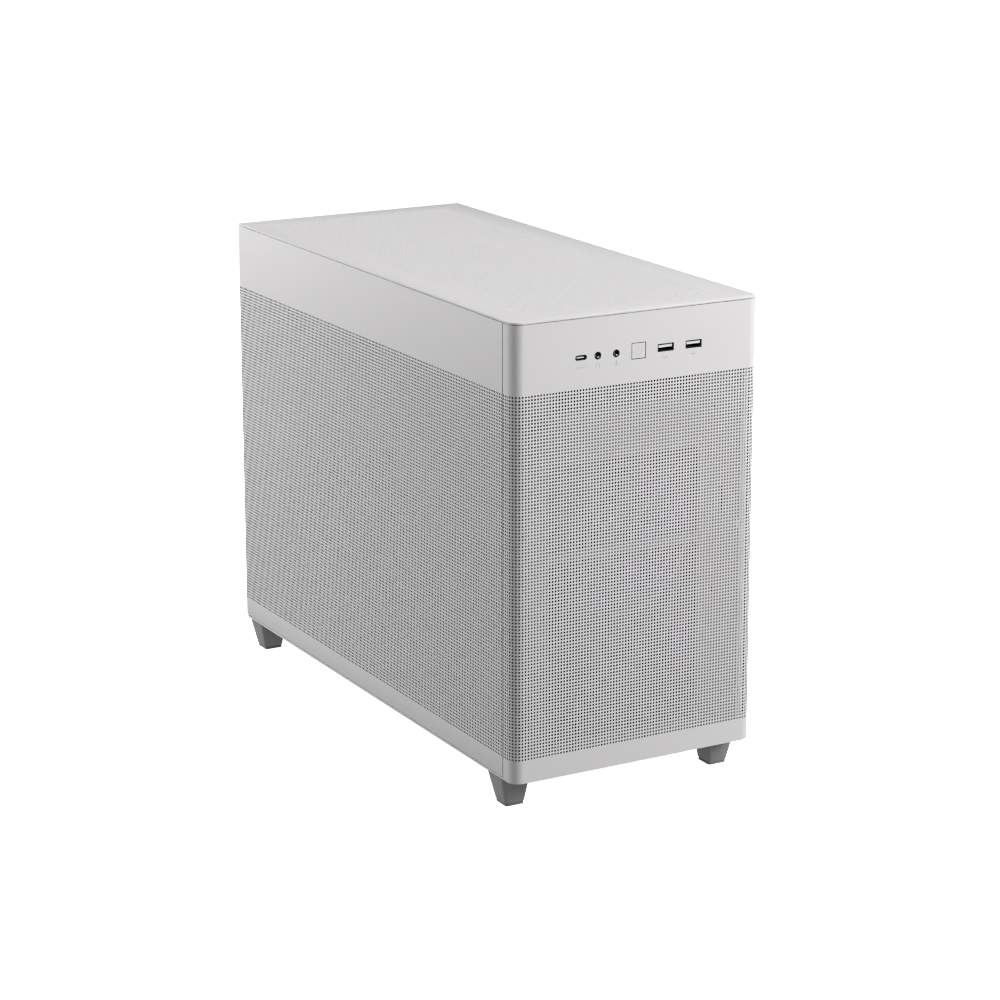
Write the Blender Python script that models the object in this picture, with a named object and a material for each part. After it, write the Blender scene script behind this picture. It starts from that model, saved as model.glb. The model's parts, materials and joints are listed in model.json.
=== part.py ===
"""Desktop computer tower: a steel case with perforated panels, and the working parts inside it.

Run with: blender --background --python part.py
Metres. +X is the width, -Y the front, +Z up. The origin is on the floor, under the middle of the case.
"""

import math

import bmesh
import bpy
from mathutils import Vector

MM = 0.001

# Case, outside
WIDTH = 205 * MM
DEPTH = 460 * MM
HEIGHT = 363.5 * MM
FOOT_HEIGHT = 25 * MM
LID_THICKNESS = 1.7 * MM
CORNER_RADIUS = 9 * MM
FRONT_RETURN = 14.3 * MM  # how far the front panel wraps back along each side
PANEL = 1.2 * MM  # thickness of the outer panels
SHEET = 1.0 * MM  # thickness of the inner steel
GAP = 0.3 * MM  # between pieces that touch
OVERLAP = 1.0 * MM  # how far a cutter or a joined shape runs past a face

LEFT, RIGHT = -WIDTH / 2, WIDTH / 2
FRONT, REAR = -DEPTH / 2, DEPTH / 2
PANEL_TOP = HEIGHT - LID_THICKNESS - GAP
SIDE_START = FRONT + FRONT_RETURN
INNER_HALF_WIDTH = WIDTH / 2 - PANEL - 0.9 * MM

# Case, inside
FRAME_Y = FRONT + 14.5 * MM  # front face of the inner front frame
REAR_PANEL_Y = 222.7 * MM  # inner face of the rear panel
BASE_Z = 28 * MM  # underside of the base plate
TOP_FRAME_Z = 356 * MM  # underside of the top frame
FRAME_WINDOWS = (  # in the front frame: low x, low z, high x, high z
    (-54 * MM, 48 * MM, 66 * MM, 176 * MM),
    (-54 * MM, 184 * MM, 66 * MM, 254 * MM),
    (-62 * MM, 291.5 * MM, 62 * MM, 345 * MM),
)
TRAY_X = 78 * MM  # the tray's face towards the motherboard
INSIDE_Z = BASE_Z + SHEET + GAP
INSIDE_TOP = TOP_FRAME_Z - GAP

# Front sockets and button, all on one line
IO_Z = 333.6 * MM
USB_C_X = -47.5 * MM
HEADPHONE_X = -33.8 * MM
MICROPHONE_X = -18.6 * MM
BUTTON_X = 0
USB_A_LEFT_X = 22.6 * MM
USB_A_RIGHT_X = 46.2 * MM
SOCKET_FACE = FRONT + 0.3 * MM
BUTTON_WIDTH = 10.7 * MM
BUTTON_HOLE = 11.5 * MM
IO_BOARD_TOP = 330.7 * MM

# Feet
FOOT_X = 87.8 * MM
FRONT_FOOT_Y = -199.4 * MM
REAR_FOOT_Y = 217 * MM
PAD_THICKNESS = 2 * MM
FOOT_BASE = (16.2 * MM, 16.8 * MM)
FOOT_FLARE = 3.4 * MM  # how much further each side reaches at the top
FOOT_OUTER_FLARE = 5 * MM

# Motherboard, 244 mm square
BOARD_SIDE = 244 * MM
BOARD_X = 70 * MM  # its face with the components on
BOARD_THICKNESS = 1.6 * MM
BOARD_LOW_Z = 74 * MM
BOARD_REAR_Y = 220.5 * MM
SLOT_PITCH = 20.32 * MM
FIRST_SLOT_Z = 145 * MM
PROCESSOR_Y = 139 * MM
PROCESSOR_Z = 232 * MM
MEMORY_Y = (62.5 * MM, 43.5 * MM)
IO_APERTURE = (26 * MM, 160 * MM, 70.45 * MM, 318.75 * MM)  # low x, low z, high x, high z

# Power supply, standing on end behind the front frame
PSU_HALF_WIDTH = 75 * MM
PSU_FRONT_Y = -206 * MM
PSU_DEPTH = 86 * MM
PSU_LOW_Z = 116 * MM
PSU_LENGTH = 140 * MM
PSU_WALL = 1.2 * MM
PSU_TOP_Z = PSU_LOW_Z + PSU_LENGTH
PLUG_X, PLUG_Y = -34 * MM, -163 * MM
ROCKER_X = 10 * MM
ROCKER_Z = PSU_TOP_Z + 5 * MM

# Rear openings
REAR_FAN_X, REAR_FAN_Z = -38 * MM, 262 * MM
INLET_X, INLET_Z = -40 * MM, 47 * MM
THUMBSCREW_X, THUMBSCREW_Z = 70 * MM, 354 * MM

# 120 mm fans
FAN_SIZE = 120 * MM
FAN_DEPTH = 25 * MM
FAN_BORE = 58 * MM
FAN_BLADE_TIP = 55.5 * MM
FAN_HUB = 20 * MM


# ---- Tools ----------------------------------------------------------------------------------------------


def clear_scene():
    for item in list(bpy.data.objects):
        bpy.data.objects.remove(item)


def finish(name, colour, roughness, metallic=0.0):
    """A plain Principled material."""
    made = bpy.data.materials.new(name)
    made.use_nodes = True
    shader = made.node_tree.nodes["Principled BSDF"]
    shader.inputs["Base Color"].default_value = (*colour, 1.0)
    shader.inputs["Roughness"].default_value = roughness
    shader.inputs["Metallic"].default_value = metallic
    return made


def rectangle(low_u, low_v, high_u, high_v):
    return [(low_u, low_v), (high_u, low_v), (high_u, high_v), (low_u, high_v)]


def centred(u, v, width, height):
    return rectangle(u - width / 2, v - height / 2, u + width / 2, v + height / 2)


def arc(u, v, radius, start, stop, steps):
    """Points on an arc, in degrees, both ends included."""
    turns = [math.radians(start + (stop - start) * i / steps) for i in range(steps + 1)]
    return [(u + radius * math.cos(t), v + radius * math.sin(t)) for t in turns]


def circle(u, v, radius, steps=24):
    return arc(u, v, radius, 0, 360, steps)[:-1]


def rounded(low_u, low_v, high_u, high_v, radius, steps=4):
    """A rectangle with round corners."""
    return (
        arc(low_u + radius, low_v + radius, radius, 180, 270, steps)
        + arc(high_u - radius, low_v + radius, radius, 270, 360, steps)
        + arc(high_u - radius, high_v - radius, radius, 0, 90, steps)
        + arc(low_u + radius, high_v - radius, radius, 90, 180, steps)
    )


def add_object(name, bm, look, place=None, origin=None):
    """Makes the named object. Its origin goes to the middle of its box, or to the given point."""
    bmesh.ops.recalc_face_normals(bm, faces=bm.faces)
    if origin is None:
        corners = [[v.co[k] for v in bm.verts] for k in range(3)]
        origin = [(min(c) + max(c)) / 2 for c in corners]
    bmesh.ops.translate(bm, verts=bm.verts, vec=-Vector(origin))
    mesh = bpy.data.meshes.new(name)
    bm.to_mesh(mesh)
    bm.free()
    item = bpy.data.objects.new(name, mesh)
    item.location = origin
    item.parent = place
    bpy.context.collection.objects.link(item)
    if look:
        mesh.materials.append(look)
        mesh.shade_smooth()
        mesh.set_sharp_from_angle(angle=math.radians(32))
    return item


def extrude_outline(bm, outline, axis, start, stop):
    """Adds a prism. An outline across X is (y, z), across Y is (x, z) and across Z is (x, y)."""
    spot = {
        "X": lambda u, v, w: (w, u, v),
        "Y": lambda u, v, w: (u, w, v),
        "Z": lambda u, v, w: (u, v, w),
    }[axis]
    low = [bm.verts.new(spot(u, v, start)) for u, v in outline]
    high = [bm.verts.new(spot(u, v, stop)) for u, v in outline]
    bm.faces.new(low)
    bm.faces.new(high)
    for i in range(len(outline)):
        j = (i + 1) % len(outline)
        bm.faces.new((low[i], low[j], high[j], high[i]))


def prism(name, outline, axis, start, stop, look=None, place=None, origin=None):
    bm = bmesh.new()
    extrude_outline(bm, outline, axis, start, stop)
    return add_object(name, bm, look, place, origin)


def box(name, low, high, look=None, place=None):
    return prism(name, rectangle(low[0], low[1], high[0], high[1]), "Z", low[2], high[2], look, place)


def combine(target, other, operation):
    """Adds or takes away another shape, which is then only a guide."""
    other.hide_render = True
    other.display_type = "WIRE"
    step = target.modifiers.new(other.name, "BOOLEAN")
    step.operation = operation
    step.object = other


def cut(target, outline, axis, start, stop, place=None):
    name = f"{target.name}_cut_{len(target.modifiers)}"
    combine(target, prism(name, outline, axis, start, stop, place=place), "DIFFERENCE")


def join(target, outline, axis, start, stop, place=None):
    name = f"{target.name}_add_{len(target.modifiers)}"
    combine(target, prism(name, outline, axis, start, stop, place=place), "UNION")


def placing_empty(name, location, rotation=(0, 0, 0)):
    item = bpy.data.objects.new(name, None)
    item.location = location
    item.rotation_euler = rotation
    bpy.context.collection.objects.link(item)
    return item


def smooth_route(points, spacing):
    """Points at about the spacing along a smooth curve through the route's own points."""
    ends = [2 * points[0] - points[1], *points, 2 * points[-1] - points[-2]]
    route = []
    for a, b, c, d in zip(ends, ends[1:], ends[2:], ends[3:]):
        steps = max(1, round((c - b).length / spacing))
        for i in range(steps):
            t = i / steps
            route.append(
                0.5 * (2 * b + (c - a) * t + (2 * a - 5 * b + 4 * c - d) * t**2 + (3 * b - a - 3 * c + d) * t**3)
            )
    route.append(points[-1])
    return route


def cable(name, points, diameter, look):
    """A round cable along a smooth curve through the points, given in millimetres."""
    route = smooth_route([Vector(p) * MM for p in points], 2.5 * diameter)
    curve = bpy.data.curves.new(name, "CURVE")
    curve.dimensions = "3D"
    curve.bevel_depth = diameter / 2
    curve.bevel_resolution = 2
    curve.use_fill_caps = True
    spline = curve.splines.new("POLY")
    spline.points.add(len(route) - 1)
    for spot, point in zip(spline.points, route):
        spot.co = (*point, 1.0)
    curve.materials.append(look)
    item = bpy.data.objects.new(name, curve)
    bpy.context.collection.objects.link(item)
    return item


# ---- Case: inner steel ----------------------------------------------------------------------------------


def chassis_base(look):
    plate = box(
        "chassis_base",
        (-INNER_HALF_WIDTH, FRAME_Y + SHEET + GAP, BASE_Z),
        (INNER_HALF_WIDTH, REAR_PANEL_Y - GAP, BASE_Z + SHEET),
        look,
    )
    vent = rounded(-65 * MM, 20 * MM, 65 * MM, 205 * MM, 6 * MM)
    cut(plate, vent, "Z", BASE_Z - OVERLAP, BASE_Z + SHEET + OVERLAP)


def front_frame(look):
    """The steel behind the front panel, with two large openings for air and one for the sockets."""
    plate = box(
        "front_frame",
        (-INNER_HALF_WIDTH, FRAME_Y, INSIDE_Z),
        (INNER_HALF_WIDTH, FRAME_Y + SHEET, INSIDE_TOP),
        look,
    )
    for low_x, low_z, high_x, high_z in FRAME_WINDOWS:
        window = rounded(low_x, low_z, high_x, high_z, 3 * MM)
        cut(plate, window, "Y", FRAME_Y - OVERLAP, FRAME_Y + SHEET + OVERLAP)


def rear_panel(look):
    half = WIDTH / 2 - PANEL - GAP
    low, high = REAR_PANEL_Y, REAR_PANEL_Y + SHEET
    plate = box("rear_panel", (-half, low, BASE_Z), (half, high, PANEL_TOP), look)
    through = ("Y", low - OVERLAP, high + OVERLAP)
    cut(plate, rectangle(*IO_APERTURE), *through)
    for slot in range(4):
        cut(plate, centred(13 * MM, FIRST_SLOT_Z - slot * SLOT_PITCH, 102 * MM, 11 * MM), *through)
    cut(plate, centred(INLET_X, INLET_Z, 27.4 * MM, 20.4 * MM), *through)
    for side in (-1, 1):
        cut(plate, circle(side * THUMBSCREW_X, THUMBSCREW_Z, 2.0 * MM, 16), *through)


def motherboard_tray(look):
    plate = box(
        "motherboard_tray",
        (TRAY_X, -108 * MM, INSIDE_Z),
        (TRAY_X + SHEET, REAR_PANEL_Y - GAP, INSIDE_TOP),
        look,
    )
    window = centred(PROCESSOR_Y, PROCESSOR_Z, 110 * MM, 110 * MM)
    cut(plate, window, "X", TRAY_X - OVERLAP, TRAY_X + SHEET + OVERLAP)


def top_frame(look):
    plate = box(
        "top_frame",
        (-INNER_HALF_WIDTH, FRAME_Y + SHEET + GAP, TOP_FRAME_Z),
        (INNER_HALF_WIDTH, REAR_PANEL_Y - GAP, TOP_FRAME_Z + SHEET),
        look,
    )
    vent = rounded(-66 * MM, -185 * MM, 66 * MM, 195 * MM, 6 * MM)
    cut(plate, vent, "Z", TOP_FRAME_Z - OVERLAP, TOP_FRAME_Z + SHEET + OVERLAP)


# ---- Case: outer panels ---------------------------------------------------------------------------------


def front_panel(look):
    """The front, bent back round both sides, with holes for the sockets and the button."""
    radius, middle_x, middle_y = CORNER_RADIUS, RIGHT - CORNER_RADIUS, FRONT + CORNER_RADIUS
    back = FRONT + FRONT_RETURN
    outer = (
        [(LEFT, back)]
        + arc(-middle_x, middle_y, radius, 180, 270, 8)
        + arc(middle_x, middle_y, radius, 270, 360, 8)
        + [(RIGHT, back)]
    )
    inner = (
        [(RIGHT - PANEL, back)]
        + arc(middle_x, middle_y, radius - PANEL, 360, 270, 8)
        + arc(-middle_x, middle_y, radius - PANEL, 270, 180, 8)
        + [(LEFT + PANEL, back)]
    )
    panel = prism("front_panel", outer + inner, "Z", FOOT_HEIGHT, PANEL_TOP, look)
    through = ("Y", FRONT - OVERLAP, FRONT + PANEL + OVERLAP)
    cut(panel, centred(BUTTON_X, IO_Z, BUTTON_HOLE, BUTTON_HOLE), *through)
    for x in (USB_A_LEFT_X, USB_A_RIGHT_X):
        cut(panel, centred(x, IO_Z, 13.7 * MM, 5.9 * MM), *through)
    for x in (HEADPHONE_X, MICROPHONE_X):
        cut(panel, circle(x, IO_Z, 3.3 * MM), *through)
    half_width, half_height = 4.8 * MM, 1.95 * MM
    pill = rounded(
        USB_C_X - half_width, IO_Z - half_height, USB_C_X + half_width, IO_Z + half_height, 1.9 * MM
    )
    cut(panel, pill, *through)


def side_panel(name, outer, inner, look):
    low_x, high_x = min(outer, inner), max(outer, inner)
    box(name, (low_x, SIDE_START + GAP, FOOT_HEIGHT), (high_x, REAR, PANEL_TOP), look)


def top_panel(look):
    """The lid. Two slotted tabs hang down at the back, and the thumbscrews clamp them."""
    low = HEIGHT - LID_THICKNESS
    outline = (
        [(RIGHT, REAR), (LEFT, REAR)]
        + arc(LEFT + CORNER_RADIUS, FRONT + CORNER_RADIUS, CORNER_RADIUS, 180, 270, 8)
        + arc(RIGHT - CORNER_RADIUS, FRONT + CORNER_RADIUS, CORNER_RADIUS, 270, 360, 8)
    )
    panel = prism("top_panel", outline, "Z", low, HEIGHT, look)
    tab_y = REAR_PANEL_Y + SHEET + 0.5 * MM
    for side in (-1, 1):
        x, low_z, half_slot = side * THUMBSCREW_X, THUMBSCREW_Z - 5 * MM, 2.2 * MM
        tab = rectangle(x - 9 * MM, low_z, x + 9 * MM, low + OVERLAP)
        join(panel, tab, "Y", tab_y, tab_y + PANEL)
        slot = rectangle(x - half_slot, low_z - OVERLAP, x + half_slot, THUMBSCREW_Z + half_slot)
        cut(panel, slot, "Y", tab_y - OVERLAP, tab_y + PANEL + OVERLAP)


def thumbscrew(name, x, look):
    head_y = REAR_PANEL_Y + SHEET + 0.5 * MM + PANEL + GAP
    screw = prism(name, circle(x, THUMBSCREW_Z, 5.5 * MM), "Y", head_y, head_y + 4 * MM, look)
    join(screw, circle(x, THUMBSCREW_Z, 1.7 * MM, 16), "Y", 217 * MM, head_y + OVERLAP)


def bottom_filter(look):
    """A flat dust filter that slides out to the rear, with a thin pull at its end."""
    low, high = 25.6 * MM, 27.6 * MM
    plate = box("bottom_filter", (-74 * MM, -190 * MM, low), (74 * MM, 226 * MM, high), look)
    pull = rectangle(-15 * MM, 225 * MM, 15 * MM, 229.5 * MM)
    join(plate, pull, "Z", low, high)


def foot(name, x, y, look):
    """A square foot, wider at the top, most of all outwards, with a block that is screwed to the base."""
    low, high = PAD_THICKNESS + GAP, FOOT_HEIGHT
    bm = bmesh.new()
    half_x, half_y = FOOT_BASE[0] / 2, FOOT_BASE[1] / 2
    left, right = (FOOT_OUTER_FLARE, FOOT_FLARE) if x < 0 else (FOOT_FLARE, FOOT_OUTER_FLARE)
    top_y = half_y + FOOT_FLARE
    base = centred(x, y, *FOOT_BASE)
    top = rectangle(x - half_x - left, y - top_y, x + half_x + right, y + top_y)
    rings = []
    for outline, z in ((base, low), (top, high)):
        rings.append([bm.verts.new((u, v, z)) for u, v in outline])
    bm.faces.new(rings[0])
    bm.faces.new(rings[1])
    for i in range(4):
        j = (i + 1) % 4
        bm.faces.new((rings[0][i], rings[0][j], rings[1][j], rings[1][i]))
    item = add_object(name, bm, look)
    join(item, centred(x, y, 16 * MM, 16 * MM), "Z", high - OVERLAP, BASE_Z - GAP)


def foot_pad(name, x, y, look):
    prism(name, centred(x, y, *FOOT_BASE), "Z", 0, PAD_THICKNESS, look)


# ---- Front sockets and power button ---------------------------------------------------------------------


def power_button(look):
    """A square cap with a stem that reaches back to the switch."""
    back = FRONT + 3.5 * MM
    half = BUTTON_WIDTH / 2
    outline = rounded(BUTTON_X - half, IO_Z - half, BUTTON_X + half, IO_Z + half, 0.8 * MM, 3)
    cap = prism("power_button", outline, "Y", FRONT + 0.1 * MM, back, look)
    join(cap, centred(BUTTON_X, IO_Z, 5 * MM, 5 * MM), "Y", back - OVERLAP, FRONT + 6.1 * MM)


def button_housing(look):
    low, high = FRONT + PANEL + GAP, FRONT + 7.2 * MM
    ring = prism("button_housing", centred(BUTTON_X, IO_Z, 17.5 * MM, 17.5 * MM), "Y", low, high, look)
    cut(ring, centred(BUTTON_X, IO_Z, BUTTON_HOLE, BUTTON_HOLE), "Y", low - OVERLAP, high + OVERLAP)


def power_switch(look):
    low_z = IO_BOARD_TOP + GAP
    outline = rectangle(BUTTON_X - 3.1 * MM, low_z, BUTTON_X + 3.1 * MM, low_z + 5.6 * MM)
    prism("power_switch", outline, "Y", FRONT + 7.5 * MM, FRONT + 13.5 * MM, look)


def io_bracket(look):
    """A shelf under the socket board, with a tab at each end on the front frame."""
    low_y, high_y = FRONT + 7.5 * MM, FRAME_Y - GAP
    top = IO_BOARD_TOP - BOARD_THICKNESS - GAP
    shelf = box("io_bracket", (-72 * MM, low_y, top - SHEET), (72 * MM, high_y, top), look)
    for low_x, high_x in ((-72 * MM, -62.5 * MM), (62.5 * MM, 72 * MM)):
        join(shelf, rectangle(low_x, top - 12 * MM, high_x, top - SHEET / 2), "Y", high_y - SHEET, high_y)


def io_board(look):
    """The socket board, with the header that its cable plugs into."""
    low = IO_BOARD_TOP - BOARD_THICKNESS
    board = box("io_board", (-58 * MM, FRONT + 7.8 * MM, low), (60 * MM, FRONT + 32 * MM, IO_BOARD_TOP), look)
    header = rectangle(10 * MM, FRONT + 24 * MM, 30 * MM, FRONT + 31.5 * MM)
    join(board, header, "Z", IO_BOARD_TOP - OVERLAP, IO_BOARD_TOP + 7 * MM)


def usb_a_port(name, x, look):
    """A metal shell with a tongue in the upper half of its mouth."""
    back = SOCKET_FACE + 14 * MM
    shell = prism(name, centred(x, IO_Z, 13.1 * MM, 5.3 * MM), "Y", SOCKET_FACE, back, look)
    cut(shell, centred(x, IO_Z, 12.3 * MM, 4.5 * MM), "Y", SOCKET_FACE - OVERLAP, back - 1.5 * MM)
    tongue = centred(x, IO_Z + 0.9 * MM, 11.1 * MM, 1.8 * MM)
    join(shell, tongue, "Y", SOCKET_FACE + 1.2 * MM, back - 0.5 * MM)


def usb_c_port(look):
    half_width, half_height = 4.45 * MM, 1.6 * MM
    back = SOCKET_FACE + 11 * MM
    outline = rounded(
        USB_C_X - half_width, IO_Z - half_height, USB_C_X + half_width, IO_Z + half_height, 1.55 * MM
    )
    shell = prism("usb_c_port", outline, "Y", SOCKET_FACE, back, look)
    wall = 0.35 * MM
    mouth = rounded(
        USB_C_X - half_width + wall,
        IO_Z - half_height + wall,
        USB_C_X + half_width - wall,
        IO_Z + half_height - wall,
        1.2 * MM,
    )
    cut(shell, mouth, "Y", SOCKET_FACE - OVERLAP, back - 1.5 * MM)
    join(shell, centred(USB_C_X, IO_Z, 6.6 * MM, 0.7 * MM), "Y", SOCKET_FACE + 1 * MM, back - 0.5 * MM)
    plinth = rectangle(USB_C_X - 4.4 * MM, IO_BOARD_TOP + GAP, USB_C_X + 4.4 * MM, IO_Z + 0.5 * MM)
    join(shell, plinth, "Y", back - 1 * MM, back + 5 * MM)


def audio_jack(name, x, look):
    body_y = SOCKET_FACE + 8 * MM
    barrel = prism(name, circle(x, IO_Z, 2.9 * MM), "Y", SOCKET_FACE, body_y, look)
    body = rectangle(x - 3.3 * MM, IO_BOARD_TOP + GAP, x + 3.3 * MM, IO_Z + 3.1 * MM)
    join(barrel, body, "Y", body_y - OVERLAP / 2, body_y + 9 * MM)
    cut(barrel, circle(x, IO_Z, 1.8 * MM, 16), "Y", SOCKET_FACE - OVERLAP, SOCKET_FACE + 15 * MM)


# ---- Fans -----------------------------------------------------------------------------------------------


def fan_frame(name, place, look):
    """A square fan frame. Air leaves at the empty's +Z, where three bars hold the motor."""
    half, low, high = FAN_SIZE / 2, -FAN_DEPTH / 2, FAN_DEPTH / 2
    frame = prism(name, rounded(-half, -half, half, half, 6 * MM), "Z", low, high, look, place, (0, 0, 0))
    cut(frame, circle(0, 0, FAN_BORE, 40), "Z", low - OVERLAP, high + OVERLAP, place)
    join(frame, circle(0, 0, FAN_HUB), "Z", high - 3.5 * MM, high - 0.1 * MM, place)
    reach = FAN_BORE + 0.8 * MM
    for width, height in ((2 * reach, 4 * MM), (4 * MM, 2 * reach)):
        join(frame, centred(0, 0, width, height), "Z", high - 3 * MM, high - 0.3 * MM, place)
    hole = 52.5 * MM
    for u in (-hole, hole):
        for v in (-hole, hole):
            cut(frame, circle(u, v, 2.15 * MM, 12), "Z", low - OVERLAP, high + OVERLAP, place)


def add_blade(bm, turn, width, root, tip, low, high, sweep, thickness):
    """Adds one closed blade: a slab that climbs from low to high across its width and sweeps forward."""
    across, along = 4, 4
    layers = []
    for lift in (-thickness / 2, thickness / 2):
        rows = []
        for i in range(along + 1):
            share = i / along
            radius = root + (tip - root) * share
            row = []
            for j in range(across + 1):
                angle = turn + sweep * share + (j / across - 0.5) * width
                climb = low + (high - low) * (j / across) + lift
                row.append(bm.verts.new((radius * math.cos(angle), radius * math.sin(angle), climb)))
            rows.append(row)
        layers.append(rows)
    for rows in layers:
        for i in range(along):
            for j in range(across):
                bm.faces.new((rows[i][j], rows[i][j + 1], rows[i + 1][j + 1], rows[i + 1][j]))
    edge = [(0, j) for j in range(across)]
    edge += [(i, across) for i in range(along)]
    edge += [(along, across - j) for j in range(across)]
    edge += [(along - i, 0) for i in range(along)]
    under, over = layers
    for (i, j), (k, m) in zip(edge, edge[1:] + edge[:1]):
        bm.faces.new((under[i][j], under[k][m], over[k][m], over[i][j]))


def fan_rotor(name, place, hub, tip, low, high, count, look):
    """A hub with blades. Its origin is on its axis."""
    rotor = prism(name, circle(0, 0, hub, 24), "Z", low, high, look, place, (0, 0, 0))
    bm = bmesh.new()
    margin, thickness = 1.6 * MM, 1.5 * MM
    for n in range(count):
        turn = 2 * math.pi * n / count
        width = 0.74 * 2 * math.pi / count
        add_blade(bm, turn, width, hub - 2 * MM, tip, low + margin, high - margin, 0.3, thickness)
    blades = add_object(f"{name}_blades", bm, None, place, (0, 0, 0))
    combine(rotor, blades, "UNION")


def case_fans(frame_look, rotor_look):
    """The rear fan and the processor's fan, which both blow towards the rear."""
    turned = (math.radians(-90), 0, 0)
    rear_y = REAR_PANEL_Y - GAP - FAN_DEPTH / 2
    cooler_y = 101 * MM
    for name, spot in (
        ("rear_fan", (REAR_FAN_X, rear_y, REAR_FAN_Z)),
        ("cpu_fan", (-25 * MM, cooler_y, PROCESSOR_Z)),
    ):
        place = placing_empty(f"{name}_place", spot, turned)
        fan_frame(f"{name}_frame", place, frame_look)
        low, high = -FAN_DEPTH / 2 + 1.5 * MM, FAN_DEPTH / 2 - 4.2 * MM
        fan_rotor(f"{name}_rotor", place, FAN_HUB, FAN_BLADE_TIP, low, high, 9, rotor_look)


# ---- Power supply ---------------------------------------------------------------------------------------


def psu_housing(look):
    """A hollow steel box with the fan's round opening in front and cheeks for the rocker switch on top."""
    low = (-PSU_HALF_WIDTH, PSU_FRONT_Y, PSU_LOW_Z)
    high = (PSU_HALF_WIDTH, PSU_FRONT_Y + PSU_DEPTH, PSU_TOP_Z)
    housing = box("psu_housing", low, high, look)
    inside = rectangle(low[0] + PSU_WALL, low[1] + PSU_WALL, high[0] - PSU_WALL, high[1] - PSU_WALL)
    cut(housing, inside, "Z", low[2] + PSU_WALL, high[2] - PSU_WALL)
    cut(housing, circle(0, psu_fan_z(), 57 * MM, 40), "Y", low[1] - OVERLAP, low[1] + PSU_WALL + OVERLAP)
    for side in (-1, 1):
        x = ROCKER_X + side * 8.2 * MM
        cheek = rectangle(PLUG_Y - 9 * MM, PSU_TOP_Z - PSU_WALL / 2, PLUG_Y + 9 * MM, PSU_TOP_Z + 5.5 * MM)
        join(housing, cheek, "X", x - 0.6 * MM, x + 0.6 * MM)


def psu_fan_z():
    return (PSU_LOW_Z + PSU_TOP_Z) / 2


def psu_fan(look):
    place = placing_empty("psu_fan_place", (0, PSU_FRONT_Y + 11 * MM, psu_fan_z()), (math.radians(-90), 0, 0))
    fan_rotor("psu_fan_rotor", place, FAN_HUB, 55 * MM, -8.5 * MM, 8.5 * MM, 9, look)


def psu_bracket(look):
    """The plate that hangs the supply from the front frame, open over the plug and the rocker."""
    low, high = PSU_TOP_Z + GAP, PSU_TOP_Z + GAP + SHEET
    front = FRAME_Y + SHEET + GAP
    plate = box("psu_bracket", (-80 * MM, front, low), (80 * MM, -118 * MM, high), look)
    join(plate, rectangle(-80 * MM, low, 80 * MM, low + 14 * MM), "Y", front, front + SHEET)
    through = ("Z", low - OVERLAP, high + OVERLAP)
    cut(plate, centred(PLUG_X, PLUG_Y, 34 * MM, 26 * MM), *through)
    cut(plate, centred(ROCKER_X, PLUG_Y, 21 * MM, 26 * MM), *through)


def psu_rocker(look):
    """The on-off rocker. Its origin is on its pivot, which runs along X."""
    profile = [(-8, -1.2), (8, -1.2), (8, 0.6), (0, 1.6), (-8, 4.2)]
    outline = [(PLUG_Y + u * MM, ROCKER_Z + v * MM) for u, v in profile]
    origin = (ROCKER_X, PLUG_Y, ROCKER_Z)
    prism("psu_rocker", outline, "X", ROCKER_X - 7.2 * MM, ROCKER_X + 7.2 * MM, look, None, origin)


def mains_inlet(look):
    """The mains socket in the rear panel: a flange, a deep recess and three blades."""
    mouth = REAR_PANEL_Y + SHEET + GAP + 2 * MM
    floor = mouth - 18 * MM
    inlet = prism("mains_inlet", centred(INLET_X, INLET_Z, 26.8 * MM, 19.8 * MM), "Y", 196 * MM, mouth, look)
    flange = centred(INLET_X, INLET_Z, 50 * MM, 22.5 * MM)
    join(inlet, flange, "Y", mouth - 2 * MM, mouth)
    cut(inlet, centred(INLET_X, INLET_Z, 24.2 * MM, 16.6 * MM), "Y", floor, mouth + OVERLAP)
    for x, z in ((-7, 2.0), (0, 5.2), (7, 2.0)):
        blade = centred(INLET_X + x * MM, INLET_Z + z * MM, 2 * MM, 4 * MM)
        join(inlet, blade, "Y", floor - OVERLAP, mouth - 3 * MM)


def mains_plug(look):
    outline = rounded(PLUG_X - 13 * MM, PLUG_Y - 8 * MM, PLUG_X + 13 * MM, PLUG_Y + 8 * MM, 3 * MM)
    plug = prism("mains_plug", outline, "Z", PSU_TOP_Z + GAP, PSU_TOP_Z + 22 * MM, look)
    join(plug, circle(PLUG_X, PLUG_Y, 6 * MM, 16), "Z", PSU_TOP_Z + 21 * MM, PSU_TOP_Z + 32 * MM)


# ---- Motherboard, processor cooler and memory -----------------------------------------------------------


def motherboard(look):
    """The board with its processor socket, memory sockets, card slots and power connector."""
    low_y = BOARD_REAR_Y - BOARD_SIDE
    board = box(
        "motherboard",
        (BOARD_X, low_y, BOARD_LOW_Z),
        (BOARD_X + BOARD_THICKNESS, BOARD_REAR_Y, BOARD_LOW_Z + BOARD_SIDE),
        look,
    )
    inside = BOARD_X + BOARD_THICKNESS / 2

    def stand(y, z, along_y, along_z, height):
        join(board, centred(y, z, along_y, along_z), "X", BOARD_X - height, inside)

    stand(PROCESSOR_Y, PROCESSOR_Z, 40 * MM, 45 * MM, 4 * MM)
    for y in MEMORY_Y:
        stand(y, 234 * MM, 6.5 * MM, 142 * MM, 8 * MM)
    for slot in (0, 2):
        stand(160 * MM, FIRST_SLOT_Z - slot * SLOT_PITCH, 89 * MM, 7.4 * MM, 11 * MM)
    stand(low_y + 7 * MM, 240 * MM, 9 * MM, 52 * MM, 13 * MM)
    stand(low_y + 7 * MM, 300 * MM, 6 * MM, 20 * MM, 11 * MM)


def memory_module(name, y, look):
    outline = [(30, 171), (33, 168), (61.5, 168), (61.5, 300), (33, 300), (30, 297)]
    prism(name, [(x * MM, z * MM) for x, z in outline], "Y", y - 3.4 * MM, y + 3.4 * MM, look)


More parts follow.
